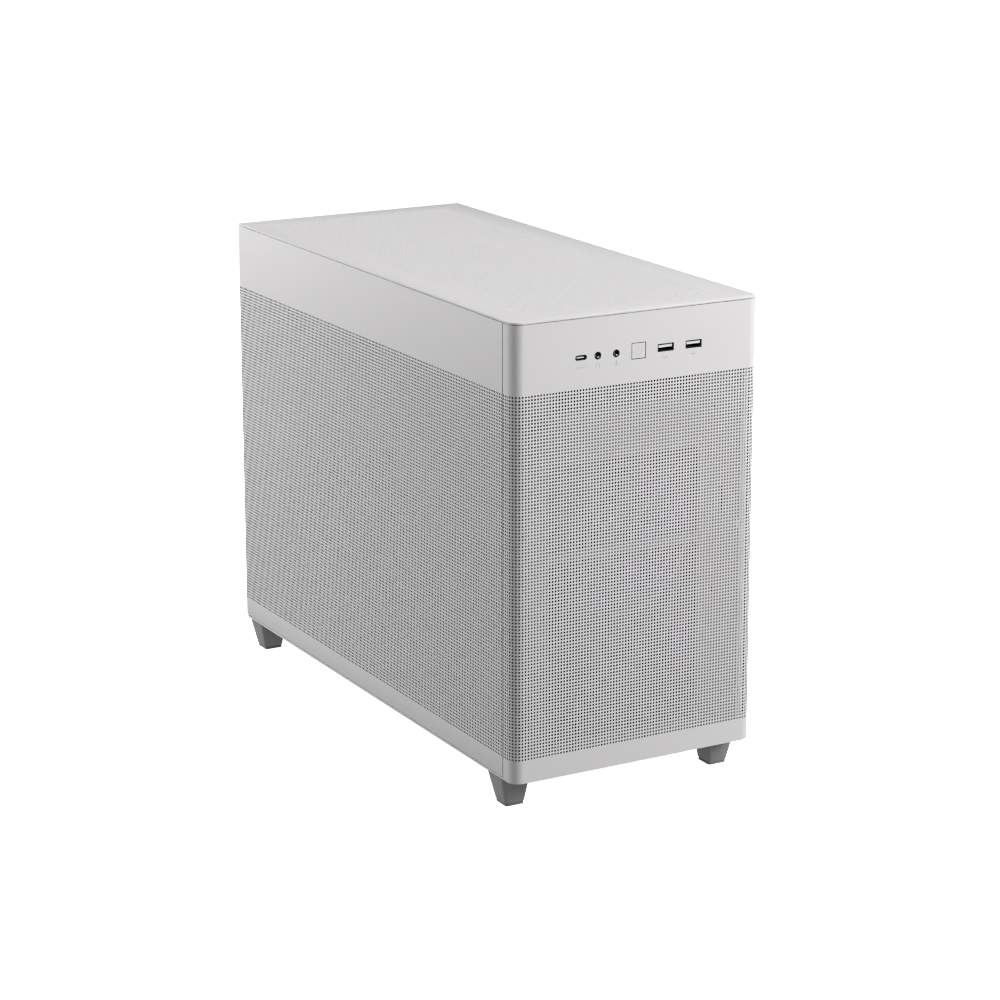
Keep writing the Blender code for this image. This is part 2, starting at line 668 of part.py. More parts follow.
def io_shield(look):
    low_x, low_z, high_x, high_z = IO_APERTURE
    outline = rectangle(low_x + GAP, low_z + GAP, high_x - GAP, high_z - GAP)
    low, high = REAR_PANEL_Y + 0.2 * MM, REAR_PANEL_Y + SHEET + 0.2 * MM
    plate = prism("io_shield", outline, "Y", low, high, look)
    cut(plate, rectangle(35.7 * MM, 167.7 * MM, 66.8 * MM, 312.3 * MM), "Y", low - OVERLAP, high + OVERLAP)


def port_block(look):
    """The rear sockets in one row: network, four USB-A and three audio."""
    face, floor = 224.6 * MM, 211 * MM
    block = prism("port_block", rectangle(36 * MM, 168 * MM, 66.5 * MM, 312 * MM), "Y", 198 * MM, face, look)
    join(block, rectangle(66 * MM, 168 * MM, BOARD_X - GAP, 312 * MM), "Y", 198 * MM, 219 * MM)
    deep = ("Y", floor, face + OVERLAP)
    cut(block, centred(58 * MM, 235 * MM, 9 * MM, 12 * MM), *deep)
    for z in (255 * MM, 275 * MM):
        for x in (46 * MM, 58 * MM):
            cut(block, centred(x, z, 4.6 * MM, 12.3 * MM), *deep)
            join(block, centred(x + 0.9 * MM, z, 1.8 * MM, 11.1 * MM), "Y", floor - OVERLAP, face - 1.5 * MM)
    for x in (43 * MM, 51.5 * MM, 60 * MM):
        cut(block, circle(x, 180 * MM, 1.8 * MM, 16), *deep)


def processor_cooler(look):
    """A cold plate, and a stack of fins on four pipes."""
    gap_x = BOARD_X - 4 * MM - GAP
    base = centred(PROCESSOR_Y, PROCESSOR_Z, 38 * MM, 40 * MM)
    prism("cooler_base", base, "X", gap_x - 12 * MM, gap_x, look)
    top_x, bottom_x, spine = -84 * MM, 16 * MM, 1.4 * MM
    low_z, high_z = PROCESSOR_Z - 60 * MM, PROCESSOR_Z + 60 * MM
    count = 10
    pitch = (bottom_x - top_x - spine) / (count - 1)
    comb = [(top_x, low_z), (bottom_x, low_z)]
    for n in range(count):
        x = bottom_x - n * pitch
        comb += [(x, high_z), (x - spine, high_z)]
        if n < count - 1:
            comb += [(x - spine, low_z + spine), (x - pitch, low_z + spine)]
    fins = prism("cpu_heatsink", comb, "Y", PROCESSOR_Y - 25 * MM, PROCESSOR_Y + 25 * MM, look)
    for y in (-16.5, -5.5, 5.5, 16.5):
        pipe = circle(PROCESSOR_Y + y * MM, PROCESSOR_Z, 3 * MM, 12)
        join(fins, pipe, "X", bottom_x - spine / 2, gap_x - 12 * MM - GAP)


# ---- Graphics card --------------------------------------------------------------------------------------

CARD_FRONT_Y, CARD_REAR_Y = -38 * MM, 218 * MM
CARD_LOW_X, CARD_HIGH_X = -44 * MM, 58.7 * MM
CARD_FAN_Y = (148 * MM, 40 * MM)
CARD_FAN_X = 7 * MM
SHROUD_LOW_Z, SHROUD_HIGH_Z = 110 * MM, 143.9 * MM


def graphics_card(board_look, metal_look, shroud_look, rotor_look):
    """A two-slot card: board above, then the fins, the fans and the shroud that holds them."""
    box(
        "graphics_board",
        (CARD_LOW_X, CARD_FRONT_Y, SHROUD_HIGH_Z + GAP),
        (CARD_HIGH_X, CARD_REAR_Y, SHROUD_HIGH_Z + GAP + BOARD_THICKNESS),
        board_look,
    )
    wall = 1.8 * MM
    low = (CARD_LOW_X, CARD_FRONT_Y, SHROUD_LOW_Z)
    high = (CARD_HIGH_X - 3 * MM, CARD_REAR_Y, SHROUD_HIGH_Z)
    shroud = box("graphics_shroud", low, high, shroud_look)
    inside = rectangle(low[0] + wall, low[1] + wall, high[0] - wall, high[1] - wall)
    cut(shroud, inside, "Z", low[2] + wall, high[2] + OVERLAP)
    for n, y in enumerate(CARD_FAN_Y):
        cut(shroud, circle(CARD_FAN_X, y, 46 * MM, 36), "Z", low[2] - OVERLAP, low[2] + wall + OVERLAP)
        place = placing_empty(f"graphics_fan_{n + 1}_place", (CARD_FAN_X, y, low[2] + 7 * MM))
        fan_rotor(f"graphics_fan_{n + 1}", place, 16 * MM, 44.5 * MM, -6 * MM, 6 * MM, 9, rotor_look)
    fins_low, fins_high = SHROUD_LOW_Z + 15 * MM, SHROUD_HIGH_Z - 0.5 * MM
    count, spine = 12, 2 * MM
    first, last = CARD_FRONT_Y + 8 * MM, CARD_REAR_Y - 8 * MM
    pitch = (last - first - spine) / (count - 1)
    comb = [(last, fins_high), (first, fins_high)]
    for n in range(count):
        y = first + n * pitch
        comb += [(y, fins_low), (y + spine, fins_low)]
        if n < count - 1:
            comb += [(y + spine, fins_high - spine), (y + pitch, fins_high - spine)]
    prism("graphics_heatsink", comb, "X", low[0] + 6 * MM, high[0] - 6 * MM, metal_look)


def rear_brackets(look):
    """The card's bracket over two slots, and a cover over each of the other two."""
    low_y, high_y = REAR_PANEL_Y - GAP - SHEET, REAR_PANEL_Y - GAP
    half = 9.2 * MM
    second = FIRST_SLOT_Z - SLOT_PITCH
    outline = rectangle(-46 * MM, second - half, 74 * MM, FIRST_SLOT_Z + half)
    prism("graphics_bracket", outline, "Y", low_y, high_y, look)
    for n in (1, 2):
        outline = centred(14 * MM, second - n * SLOT_PITCH, 120 * MM, 2 * half)
        prism(f"slot_cover_{n}", outline, "Y", low_y, high_y, look)


# ---- Drive and cables -----------------------------------------------------------------------------------


def solid_state_drive(look):
    outline = rounded(-35 * MM, -95 * MM, 34.9 * MM, 5 * MM, 3 * MM, 3)
    prism("solid_state_drive", outline, "Z", INSIDE_Z, INSIDE_Z + 7 * MM, look)


def cables(look):
    """The leads inside the case, each from its own socket to where it plugs in."""
    mains = [
        (-40, 195.7, 47), (-40, 178, 47), (-55, 145, 42), (-78, 105, 40), (-86, 50, 39), (-87, -40, 39),
        (-88, -110, 40), (-89, -148, 48), (-90, -162, 75), (-90, -164, 130), (-90, -164, 210),
        (-90, -164, 268), (-84, -164, 301), (-62, -163.5, 322), (-40, -163, 317), (-34, -163, 300),
        (-34, -163, 288.3),
    ]
    cable("mains_lead", mains, 7 * MM, look)
    board_power = [
        (50, -150, 115.4), (50, -150, 104), (51, -139, 78), (53, -108, 64), (54, -80, 78), (54, -66, 112),
        (52, -58, 160), (44, -48, 202), (34, -30, 230), (43, -16.5, 240), (56.5, -16.5, 240),
    ]
    cable("board_power_cable", board_power, 11 * MM, look)
    card_power = [
        (20, -150, 115.4), (20, -150, 104), (12, -138, 78), (-12, -110, 64), (-42, -72, 68), (-66, -34, 88),
        (-78, -6, 114), (-74, 7, 128), (-58, 12, 133), (-44.5, 12, 133),
    ]
    cable("graphics_power_cable", card_power, 8 * MM, look)
    front_sockets = [
        (20, -198.2, 334.2), (20, -187, 334.2), (30, -160, 328), (42, -120, 318), (46, -80, 309),
        (43, -45, 303), (40, -24, 300.5), (47, -16.5, 300), (58.7, -16.5, 300),
    ]
    cable("front_io_cable", front_sockets, 6 * MM, look)


# ---- The whole tower ------------------------------------------------------------------------------------


def build_case(white, dark, rubber, steel):
    chassis_base(white)
    front_frame(white)
    rear_panel(white)
    motherboard_tray(white)
    top_frame(white)
    front_panel(white)
    side_panel("left_panel", LEFT, LEFT + PANEL, white)
    side_panel("right_panel", RIGHT, RIGHT - PANEL, white)
    top_panel(white)
    bottom_filter(dark)
    thumbscrew("thumbscrew_left", -THUMBSCREW_X, steel)
    thumbscrew("thumbscrew_right", THUMBSCREW_X, steel)
    for end, y in (("front", FRONT_FOOT_Y), ("rear", REAR_FOOT_Y)):
        for side, x in (("left", -FOOT_X), ("right", FOOT_X)):
            foot(f"foot_{end}_{side}", x, y, dark)
            foot_pad(f"foot_pad_{end}_{side}", x, y, rubber)


def build_front_sockets(white, dark, green, metal):
    power_button(white)
    button_housing(dark)
    power_switch(dark)
    io_bracket(metal)
    io_board(green)
    usb_a_port("usb_a_port_left", USB_A_LEFT_X, metal)
    usb_a_port("usb_a_port_right", USB_A_RIGHT_X, metal)
    usb_c_port(metal)
    audio_jack("headphone_jack", HEADPHONE_X, dark)
    audio_jack("microphone_jack", MICROPHONE_X, dark)


def build_power_supply(black, white, dark):
    psu_housing(black)
    psu_fan(dark)
    psu_bracket(white)
    psu_rocker(dark)
    mains_inlet(dark)
    mains_plug(dark)


def build_tower():
    clear_scene()
    white = finish("white_paint", (0.80, 0.81, 0.82), 0.42)
    black = finish("black_paint", (0.03, 0.03, 0.032), 0.5)
    dark = finish("dark_plastic", (0.12, 0.12, 0.13), 0.5)
    light = finish("white_plastic", (0.78, 0.79, 0.80), 0.45)
    rubber = finish("rubber", (0.05, 0.05, 0.05), 0.8)
    steel = finish("steel", (0.62, 0.62, 0.63), 0.32, 1.0)
    aluminium = finish("aluminium", (0.75, 0.76, 0.77), 0.35, 1.0)
    green = finish("circuit_board", (0.03, 0.04, 0.05), 0.45)
    sleeve = finish("cable_sleeve", (0.10, 0.10, 0.11), 0.7)
    build_case(white, dark, rubber, steel)
    build_front_sockets(white, dark, green, steel)
    build_power_supply(black, white, dark)
    motherboard(green)
    for n, y in enumerate(MEMORY_Y):
        memory_module(f"memory_module_{n + 1}", y, light)
    io_shield(steel)
    port_block(dark)
    processor_cooler(aluminium)
    case_fans(light, light)
    graphics_card(green, aluminium, light, light)
    rear_brackets(steel)
    solid_state_drive(aluminium)
    cables(sleeve)


build_tower()
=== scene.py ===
"""The desktop computer tower as it looks: white perforated steel outside, and the working parts inside."""

import json
import math

import bmesh
import bpy
import numpy as np
from mathutils import Matrix, Vector


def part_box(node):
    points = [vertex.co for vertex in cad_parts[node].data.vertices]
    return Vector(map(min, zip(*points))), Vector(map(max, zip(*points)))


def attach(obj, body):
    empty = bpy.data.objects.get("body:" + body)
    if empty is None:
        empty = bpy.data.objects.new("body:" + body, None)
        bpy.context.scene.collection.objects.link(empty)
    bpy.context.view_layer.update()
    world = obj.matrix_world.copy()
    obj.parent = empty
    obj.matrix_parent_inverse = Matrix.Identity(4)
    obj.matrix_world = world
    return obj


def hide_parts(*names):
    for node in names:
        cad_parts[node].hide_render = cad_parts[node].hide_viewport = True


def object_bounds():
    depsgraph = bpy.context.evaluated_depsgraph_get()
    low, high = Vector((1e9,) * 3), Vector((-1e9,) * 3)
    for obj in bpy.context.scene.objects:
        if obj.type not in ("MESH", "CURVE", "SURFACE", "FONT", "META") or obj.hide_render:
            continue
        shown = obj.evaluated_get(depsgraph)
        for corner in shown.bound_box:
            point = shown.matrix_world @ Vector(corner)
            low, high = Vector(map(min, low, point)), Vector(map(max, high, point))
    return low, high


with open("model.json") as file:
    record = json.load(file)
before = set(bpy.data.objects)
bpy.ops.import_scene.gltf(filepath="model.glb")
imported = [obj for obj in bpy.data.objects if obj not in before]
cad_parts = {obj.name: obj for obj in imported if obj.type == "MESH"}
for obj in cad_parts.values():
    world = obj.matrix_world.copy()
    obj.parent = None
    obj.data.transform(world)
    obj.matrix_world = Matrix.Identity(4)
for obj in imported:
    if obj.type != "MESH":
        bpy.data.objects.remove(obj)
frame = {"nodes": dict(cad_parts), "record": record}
CAD_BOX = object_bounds()

MM = 0.001  # the CAD is in metres, and the shapes here are worked out in millimetres
NODES = frame["nodes"]


def box(node):
    """A CAD node's lowest and highest corners, in millimetres."""
    return [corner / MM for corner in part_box(node)]


def middle(node):
    """The middle of a CAD node's box."""
    low, high = box(node)
    return (low + high) / 2


# Case
LOW, HIGH = (corner / MM for corner in CAD_BOX)
LEFT, FRONT, RIGHT, REAR = LOW.x, LOW.y, HIGH.x, HIGH.y
PANEL_LOW, PANEL_HIGH = box("front_panel")
PANEL_BOTTOM = PANEL_LOW.z
SEAM = PANEL_HIGH.y  # where the front panel meets the side panels
SEAM_GAP = 0.9
CORNER_RADIUS = 9
SKIN = 0.4  # perforated sheet
BAND = 1.2  # plain sheet above and below it
LID_LOW = HIGH.z - 1.7
PANEL_TOP = PANEL_HIGH.z

NEAR = 0.001  # for lengths that are meant to be equal

# Perforation
PITCH = 2.45  # between the middles of neighbouring holes
HOLE = 0.74  # radius in the front panel
SIDE_HOLE = 0.71
LID_HOLE = 0.58
ROWS = 110  # in the front and side panels
MESH_TOP = 311.4
MESH_BOTTOM = MESH_TOP - ROWS * PITCH
SIDE_TOP, SIDE_BOTTOM = PANEL_TOP, PANEL_BOTTOM + 1.8  # ends of the side panels


# ---- Materials ------------------------------------------------------------------------------------------


def nodes_of(name):
    made = bpy.data.materials.new(name)
    made.use_nodes = True
    tree = made.node_tree
    return made, tree, tree.nodes["Principled BSDF"]


def noise(tree, scale, detail=2.0, stretch=(1, 1, 1)):
    """Noise in the part's own coordinates, scale in waves per metre."""
    where = tree.nodes.new("ShaderNodeTexCoord")
    mapping = tree.nodes.new("ShaderNodeMapping")
    mapping.inputs["Scale"].default_value = stretch
    source = tree.nodes.new("ShaderNodeTexNoise")
    source.inputs["Scale"].default_value = scale
    source.inputs["Detail"].default_value = detail
    tree.links.new(where.outputs["Object"], mapping.inputs["Vector"])
    tree.links.new(mapping.outputs["Vector"], source.inputs["Vector"])
    return source.outputs["Fac"]


def blend_colours(tree, factor, one, other, target):
    mix = tree.nodes.new("ShaderNodeMix")
    mix.data_type = "RGBA"
    mix.inputs["A"].default_value = (*one, 1)
    mix.inputs["B"].default_value = (*other, 1)
    tree.links.new(factor, mix.inputs["Factor"])
    tree.links.new(mix.outputs["Result"], target)


def spread(tree, factor, low, high, target):
    """Carries a 0 to 1 value to the range low to high."""
    ranged = tree.nodes.new("ShaderNodeMapRange")
    ranged.inputs["From Min"].default_value = 0.3
    ranged.inputs["From Max"].default_value = 0.7
    ranged.inputs["To Min"].default_value = low
    ranged.inputs["To Max"].default_value = high
    tree.links.new(factor, ranged.inputs["Value"])
    tree.links.new(ranged.outputs["Result"], target)


def bump(tree, height, distance, strength, shader):
    node = tree.nodes.new("ShaderNodeBump")
    node.inputs["Distance"].default_value = distance
    node.inputs["Strength"].default_value = strength
    tree.links.new(height, node.inputs["Height"])
    tree.links.new(node.outputs["Normal"], shader.inputs["Normal"])


def finish(name, colour, roughness, metallic=0.0, shade=0.96, grain=None, stretch=(1, 1, 1), wear=0.0):
    """A material whose colour drifts slowly towards its darker shade.

    A grain is its waves per metre, its depth and its strength, and wear is how far the roughness varies.
    """
    made, tree, shader = nodes_of(name)
    shader.inputs["Roughness"].default_value = roughness
    shader.inputs["Metallic"].default_value = metallic
    darker = tuple(c * shade for c in colour)
    blend_colours(tree, noise(tree, 9), colour, darker, shader.inputs["Base Color"])
    if grain:
        scale, depth, strength = grain
        bump(tree, noise(tree, scale, 3.0, stretch), depth, strength, shader)
    if wear:
        spread(tree, noise(tree, 60, 4.0), roughness - wear, roughness + wear, shader.inputs["Roughness"])
    return made


def braid(name, colour, pitch=1.6 * MM):
    """Woven cable sleeve: two waves that cross."""
    made, tree, shader = nodes_of(name)
    where = tree.nodes.new("ShaderNodeTexCoord")
    heights = []
    for turn in (35, -35):
        mapping = tree.nodes.new("ShaderNodeMapping")
        mapping.inputs["Rotation"].default_value = (math.radians(turn), math.radians(turn), 0)
        wave = tree.nodes.new("ShaderNodeTexWave")
        wave.inputs["Scale"].default_value = 0.32 / pitch
        tree.links.new(where.outputs["Object"], mapping.inputs["Vector"])
        tree.links.new(mapping.outputs["Vector"], wave.inputs["Vector"])
        heights.append(wave.outputs["Fac"])
    crossing = tree.nodes.new("ShaderNodeMath")
    crossing.operation = "MULTIPLY"
    for socket, height in zip(crossing.inputs, heights):
        tree.links.new(height, socket)
    shader.inputs["Roughness"].default_value = 0.62
    darker = tuple(c * 0.5 for c in colour)
    blend_colours(tree, crossing.outputs[0], darker, colour, shader.inputs["Base Color"])
    bump(tree, crossing.outputs[0], 0.3 * MM, 0.7, shader)
    return made


def circuit(name):
    """Dark circuit board: faint traces that run along and across."""
    made, tree, shader = nodes_of(name)
    where = tree.nodes.new("ShaderNodeTexCoord")
    lines = []
    for stretch in ((260, 40, 420), (260, 420, 40)):
        mapping = tree.nodes.new("ShaderNodeMapping")
        mapping.inputs["Scale"].default_value = stretch
        cells = tree.nodes.new("ShaderNodeTexVoronoi")
        cells.distance = "MANHATTAN"
        cells.feature = "F1"
        cells.inputs["Scale"].default_value = 1.0
        tree.links.new(where.outputs["Object"], mapping.inputs["Vector"])
        tree.links.new(mapping.outputs["Vector"], cells.inputs["Vector"])
        lines.append(cells.outputs["Distance"])
    least = tree.nodes.new("ShaderNodeMath")
    least.operation = "MINIMUM"
    for socket, line in zip(least.inputs, lines):
        tree.links.new(line, socket)
    shader.inputs["Roughness"].default_value = 0.38
    copper_tone, board_tone = (0.05, 0.055, 0.06), (0.014, 0.016, 0.018)
    blend_colours(tree, least.outputs[0], copper_tone, board_tone, shader.inputs["Base Color"])
    bump(tree, least.outputs[0], 0.05 * MM, 0.4, shader)
    return made


WHITE = (0.785, 0.768, 0.777)
PAINT = finish("powder_coat_white", WHITE, 0.40, shade=0.985, grain=(1400, 0.04 * MM, 0.25))
MESH_PAINT = finish("powder_coat_mesh", (0.815, 0.798, 0.807), 0.45, shade=0.985)
# the holes' walls are dark grey although the sheet is white: painted shade inside the holes
HOLE_WALL_SHADE = finish("powder_coat_hole_walls_painted_shade", (0.26, 0.255, 0.26), 0.55, shade=0.97)
COAT = (1100, 0.05 * MM, 0.3)
# the white inner steel is painted dark grey: painted shade inside the case
SHADED_INSIDE_PAINT = finish("powder_coat_inside_painted_shade", (0.20, 0.197, 0.20), 0.48, shade=0.97, grain=COAT)
# the front frame's white paint is made dark grey: painted shade seen through the front panel's holes
SHADED_FRAME_PAINT = finish("powder_coat_frame_painted_shade", (0.23, 0.227, 0.23), 0.5, shade=0.97, grain=COAT)
BLACK = (0.022, 0.022, 0.024)
BLACK_PAINT = finish("powder_coat_black", BLACK, 0.5, shade=0.7, grain=(1300, 0.06 * MM, 0.4))
WHITE_PLASTIC = finish("moulded_white", (0.70, 0.70, 0.71), 0.42, shade=0.96, grain=(900, 0.03 * MM, 0.25))
DARK_PLASTIC = finish("moulded_dark", (0.020, 0.020, 0.022), 0.45, shade=0.8, grain=(900, 0.04 * MM, 0.3))
GREY_PLASTIC = finish("moulded_grey", (0.10, 0.10, 0.102), 0.42, shade=0.9, grain=(700, 0.05 * MM, 0.3))
FOOT_PLASTIC = finish("foot_grey", (0.38, 0.377, 0.378), 0.42, shade=0.9, grain=(500, 0.04 * MM, 0.2))
FOOT_RUBBER = finish("foot_rubber", (0.27, 0.268, 0.268), 0.7, shade=0.9, grain=(1000, 0.08 * MM, 0.4))
RUBBER = finish("black_rubber", (0.05, 0.05, 0.05), 0.8, shade=0.8, grain=(1000, 0.1 * MM, 0.5))
BRIGHT = (0.60, 0.60, 0.61)
STEEL = finish("bare_steel", BRIGHT, 0.30, 1.0, shade=0.9, grain=(260, 0.02 * MM, 0.3), wear=0.05)
SILVER, BRUSH_MARKS = (0.78, 0.785, 0.79), (120, 0.03 * MM, 0.3)
BRUSHED = finish("brushed_aluminium", SILVER, 0.32, 1.0, 0.93, BRUSH_MARKS, stretch=(1, 1, 14))
NICKEL = finish("nickel_plate", (0.66, 0.64, 0.60), 0.16, 1.0, shade=0.95, wear=0.04)
COPPER = finish("gold_contacts", (0.83, 0.60, 0.26), 0.25, 1.0, shade=0.9)
CIRCUIT = circuit("circuit_board_black")
SLEEVE = braid("cable_braid", (0.055, 0.055, 0.06))
DARK_STEEL = finish("dark_socket_steel", (0.10, 0.10, 0.105), 0.3, 0.8, shade=0.9)
SOCKET_WHITE = finish("socket_tongue", (0.86, 0.86, 0.87), 0.3, shade=0.97)
SPRING_HIGHLIGHT = finish("contact_spring_painted_highlight", (0.80, 0.79, 0.78), 0.45, 0.15, shade=0.9)
GLOSS_BLACK = finish("jack_collar", (0.012, 0.012, 0.013), 0.12, shade=0.8)
FAINT_INK = finish("faint_sign", (0.60, 0.595, 0.60), 0.5, shade=0.97)
FAINTER_INK = finish("fainter_sign", (0.68, 0.67, 0.68), 0.45, shade=0.97)
FILTER = finish("filter_mesh", (0.03, 0.03, 0.032), 0.7, shade=0.9)
BLACK_STEEL = finish("black_screws", (0.03, 0.03, 0.032), 0.35, 0.7, shade=0.8)
WHITE_STEEL = finish("white_screws", (0.74, 0.73, 0.735), 0.35, shade=0.95)
SOCKET_BLUE = finish("socket_tongue_rear", (0.05, 0.12, 0.32), 0.4, shade=0.9)
FAN_WHITE = finish("fan_white", (0.66, 0.66, 0.67), 0.35, shade=0.95)
WHITE_METAL = finish("white_anodised", (0.70, 0.70, 0.71), 0.38, 0.25, shade=0.95)
SMALL_PARTS = finish("small_parts", (0.16, 0.14, 0.12), 0.45, shade=0.6)


# ---- Shapes ---------------------------------------------------------------------------------------------


def rectangle(low_u, low_v, high_u, high_v):
    """The corners of a rectangle. An outline is a list of points (u, v) in a plane."""
    return [(low_u, low_v), (high_u, low_v), (high_u, high_v), (low_u, high_v)]


def centred(u, v, width, height):
    """A rectangle with its middle at (u, v)."""
    return rectangle(u - width / 2, v - height / 2, u + width / 2, v + height / 2)


def arc(u, v, radius, start, stop, steps):
    """Points from the start angle to the stop angle, in degrees."""
    turns = [math.radians(start + (stop - start) * i / steps) for i in range(steps + 1)]
    return [(u + radius * math.cos(t), v + radius * math.sin(t)) for t in turns]


def circle(u, v, radius, steps=24):
    return arc(u, v, radius, 0, 360, steps)[:-1]


def rounded(low_u, low_v, high_u, high_v, radius, steps=5):
    """A rectangle with round corners."""
    return (
        arc(low_u + radius, low_v + radius, radius, 180, 270, steps)
        + arc(high_u - radius, low_v + radius, radius, 270, 360, steps)
        + arc(high_u - radius, high_v - radius, radius, 0, 90, steps)
        + arc(low_u + radius, high_v - radius, radius, 90, 180, steps)
    )


# where a point (u, v) of an outline goes at w along each axis
SPOTS = {
    "X": lambda u, v, w: (w, u, v),
    "Y": lambda u, v, w: (u, w, v),
    "Z": lambda u, v, w: (u, v, w),
}


# the record's material slot of each look; piece() looks one up where a piece names no other, but keeps it
# nowhere
SLOTS = {
    "white_paint": (PAINT, MESH_PAINT, SHADED_INSIDE_PAINT, SHADED_FRAME_PAINT, FAINT_INK, FAINTER_INK, WHITE_PLASTIC),
    "white_plastic": (FAN_WHITE, SOCKET_WHITE),
    "aluminium": (WHITE_METAL, BRUSHED),
    "dark_plastic": (
        DARK_PLASTIC, GREY_PLASTIC, FOOT_PLASTIC, GLOSS_BLACK, FILTER, SOCKET_BLUE, SMALL_PARTS,
    ),
    "rubber": (FOOT_RUBBER, RUBBER),
    "circuit_board": (CIRCUIT,),
    "steel": (STEEL, DARK_STEEL, BLACK_STEEL, WHITE_STEEL, NICKEL, COPPER, SPRING_HIGHLIGHT),
}
SLOT_OF = {look: slot for slot, looks in SLOTS.items() for look in looks}


def piece(name, source, look, body="case", slot=None, stands_for=(), edge=0.0, angle=32):
    """Makes a visible piece from a bmesh or a mesh in millimetres.

    It rides on the body, and stands for the CAD nodes named. Its hard edges may be rounded.
    """
    if isinstance(source, bmesh.types.BMesh):
        bmesh.ops.recalc_face_normals(source, faces=source.faces)
        mesh = bpy.data.meshes.new(name)
        source.to_mesh(mesh)
        source.free()
    else:
        mesh = source
    mesh.transform(Matrix.Scale(MM, 4))
    mesh.materials.append(look)
    mesh.shade_smooth()
    mesh.set_sharp_from_angle(angle=math.radians(angle))
    item = bpy.data.objects.new(name, mesh)
    bpy.context.collection.objects.link(item)
    if edge:
        rounding = item.modifiers.new("edges", "BEVEL")
        rounding.width = edge * MM
        rounding.segments = 2
        rounding.limit_method = "ANGLE"
        rounding.angle_limit = math.radians(40)
        rounding.harden_normals = True
    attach(item, body)
    slot or SLOT_OF[look]
    if stands_for:
        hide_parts(*stands_for)
    return item


def add_prism(bm, outline, axis, start, stop):
    """A prism. An outline across X is (y, z), across Y is (x, z) and across Z is (x, y)."""
    spot = SPOTS[axis]
    join_rings(bm, [[bm.verts.new(spot(u, v, w)) for u, v in outline] for w in (start, stop)])


def add_box(bm, low, high):
    """A box between its lowest and its highest corner."""
    add_prism(bm, rectangle(low[0], low[1], high[0], high[1]), "Z", low[2], high[2])


def between(one, other, low_y, high_y, low_z, high_z):
    """A box's two corners. Its X ends may come in either order."""
    return (min(one, other), low_y, low_z), (max(one, other), high_y, high_z)


def boxes(name, corners, look, *body, **how):
    """A piece made of boxes, each given by its lowest and highest corner."""
    bm = bmesh.new()
    for low, high in corners:
        add_box(bm, low, high)
    piece(name, bm, look, *body, **how)


def prisms(name, shapes, look, *body, **how):
    """A piece made of prisms, each given as an outline, an axis, a start and a stop."""
    bm = bmesh.new()
    for shape in shapes:
        add_prism(bm, *shape)
    piece(name, bm, look, *body, **how)


def add_turned(bm, profile, axis, centre, steps=24):
    """A turned solid, closed flat at both ends. A profile point is (radius, place along the axis)."""
    spot = SPOTS[axis]
    x, y, z = centre
    u, v, w = {"X": (y, z, x), "Y": (x, z, y), "Z": (x, y, z)}[axis]
    rings = []
    for radius, along in profile:
        points = circle(u, v, max(radius, 0.01), steps)
        rings.append([bm.verts.new(spot(a, b, w + along)) for a, b in points])
    join_rings(bm, rings)


def join_rings(bm, rings, closed_loop=False):
    """Faces between rings of as many points each. The ends are capped, or meet in a closed loop."""
    following = rings[1:] + rings[:1] if closed_loop else rings[1:]
    for one, two in zip(rings, following):
        for i in range(len(one)):
            j = (i + 1) % len(one)
            bm.faces.new((one[i], one[j], two[j], two[i]))
    if not closed_loop:
        bm.faces.new(rings[0])
        bm.faces.new(rings[-1])


def sheet(outlines, axis, start, stop, edge=0.0):
    """A flat sheet: the first outline is its edge and the others are holes. Its edges may be rounded."""
    curve = bpy.data.curves.new("sheet", "CURVE")
    curve.dimensions = "2D"
    curve.fill_mode = "BOTH"
    curve.extrude = (stop - start) / 2 - edge
    curve.bevel_depth = edge
    curve.bevel_resolution = 1
    curve.offset = -edge
    for outline in outlines:
        spline = curve.splines.new("POLY")
        spline.points.add(len(outline) - 1)
        spline.use_cyclic_u = True
        for point, (u, v) in zip(spline.points, outline):
            point.co = (u, v, 0, 1)
    guide = bpy.data.objects.new("sheet", curve)
    bpy.context.collection.objects.link(guide)
    bpy.context.view_layer.update()
    mesh = bpy.data.meshes.new_from_object(guide.evaluated_get(bpy.context.evaluated_depsgraph_get()))
    bpy.data.objects.remove(guide)
    bm = bmesh.new()
    bm.from_mesh(mesh)
    bpy.data.meshes.remove(mesh)
    bmesh.ops.remove_doubles(bm, verts=bm.verts, dist=NEAR)
    middle = (start + stop) / 2
    for vert in bm.verts:
        u, v, w = vert.co
        vert.co = SPOTS[axis](u, v, w + middle)
    return bm


def add_tube(bm, route, radius, sides=10):
    """A closed round tube along the points. Its rings turn as little as they can."""
    side = Vector((0.31, 0.52, 0.79))
    rings = []
    for i, here in enumerate(route):
        ahead = (route[min(i + 1, len(route) - 1)] - route[max(i - 1, 0)]).normalized()
        side = (side - side.dot(ahead) * ahead).normalized()
        up = ahead.cross(side)
        rings.append([bm.verts.new(here + radius * (a * side + b * up)) for a, b in circle(0, 0, 1, sides)])
    join_rings(bm, rings)


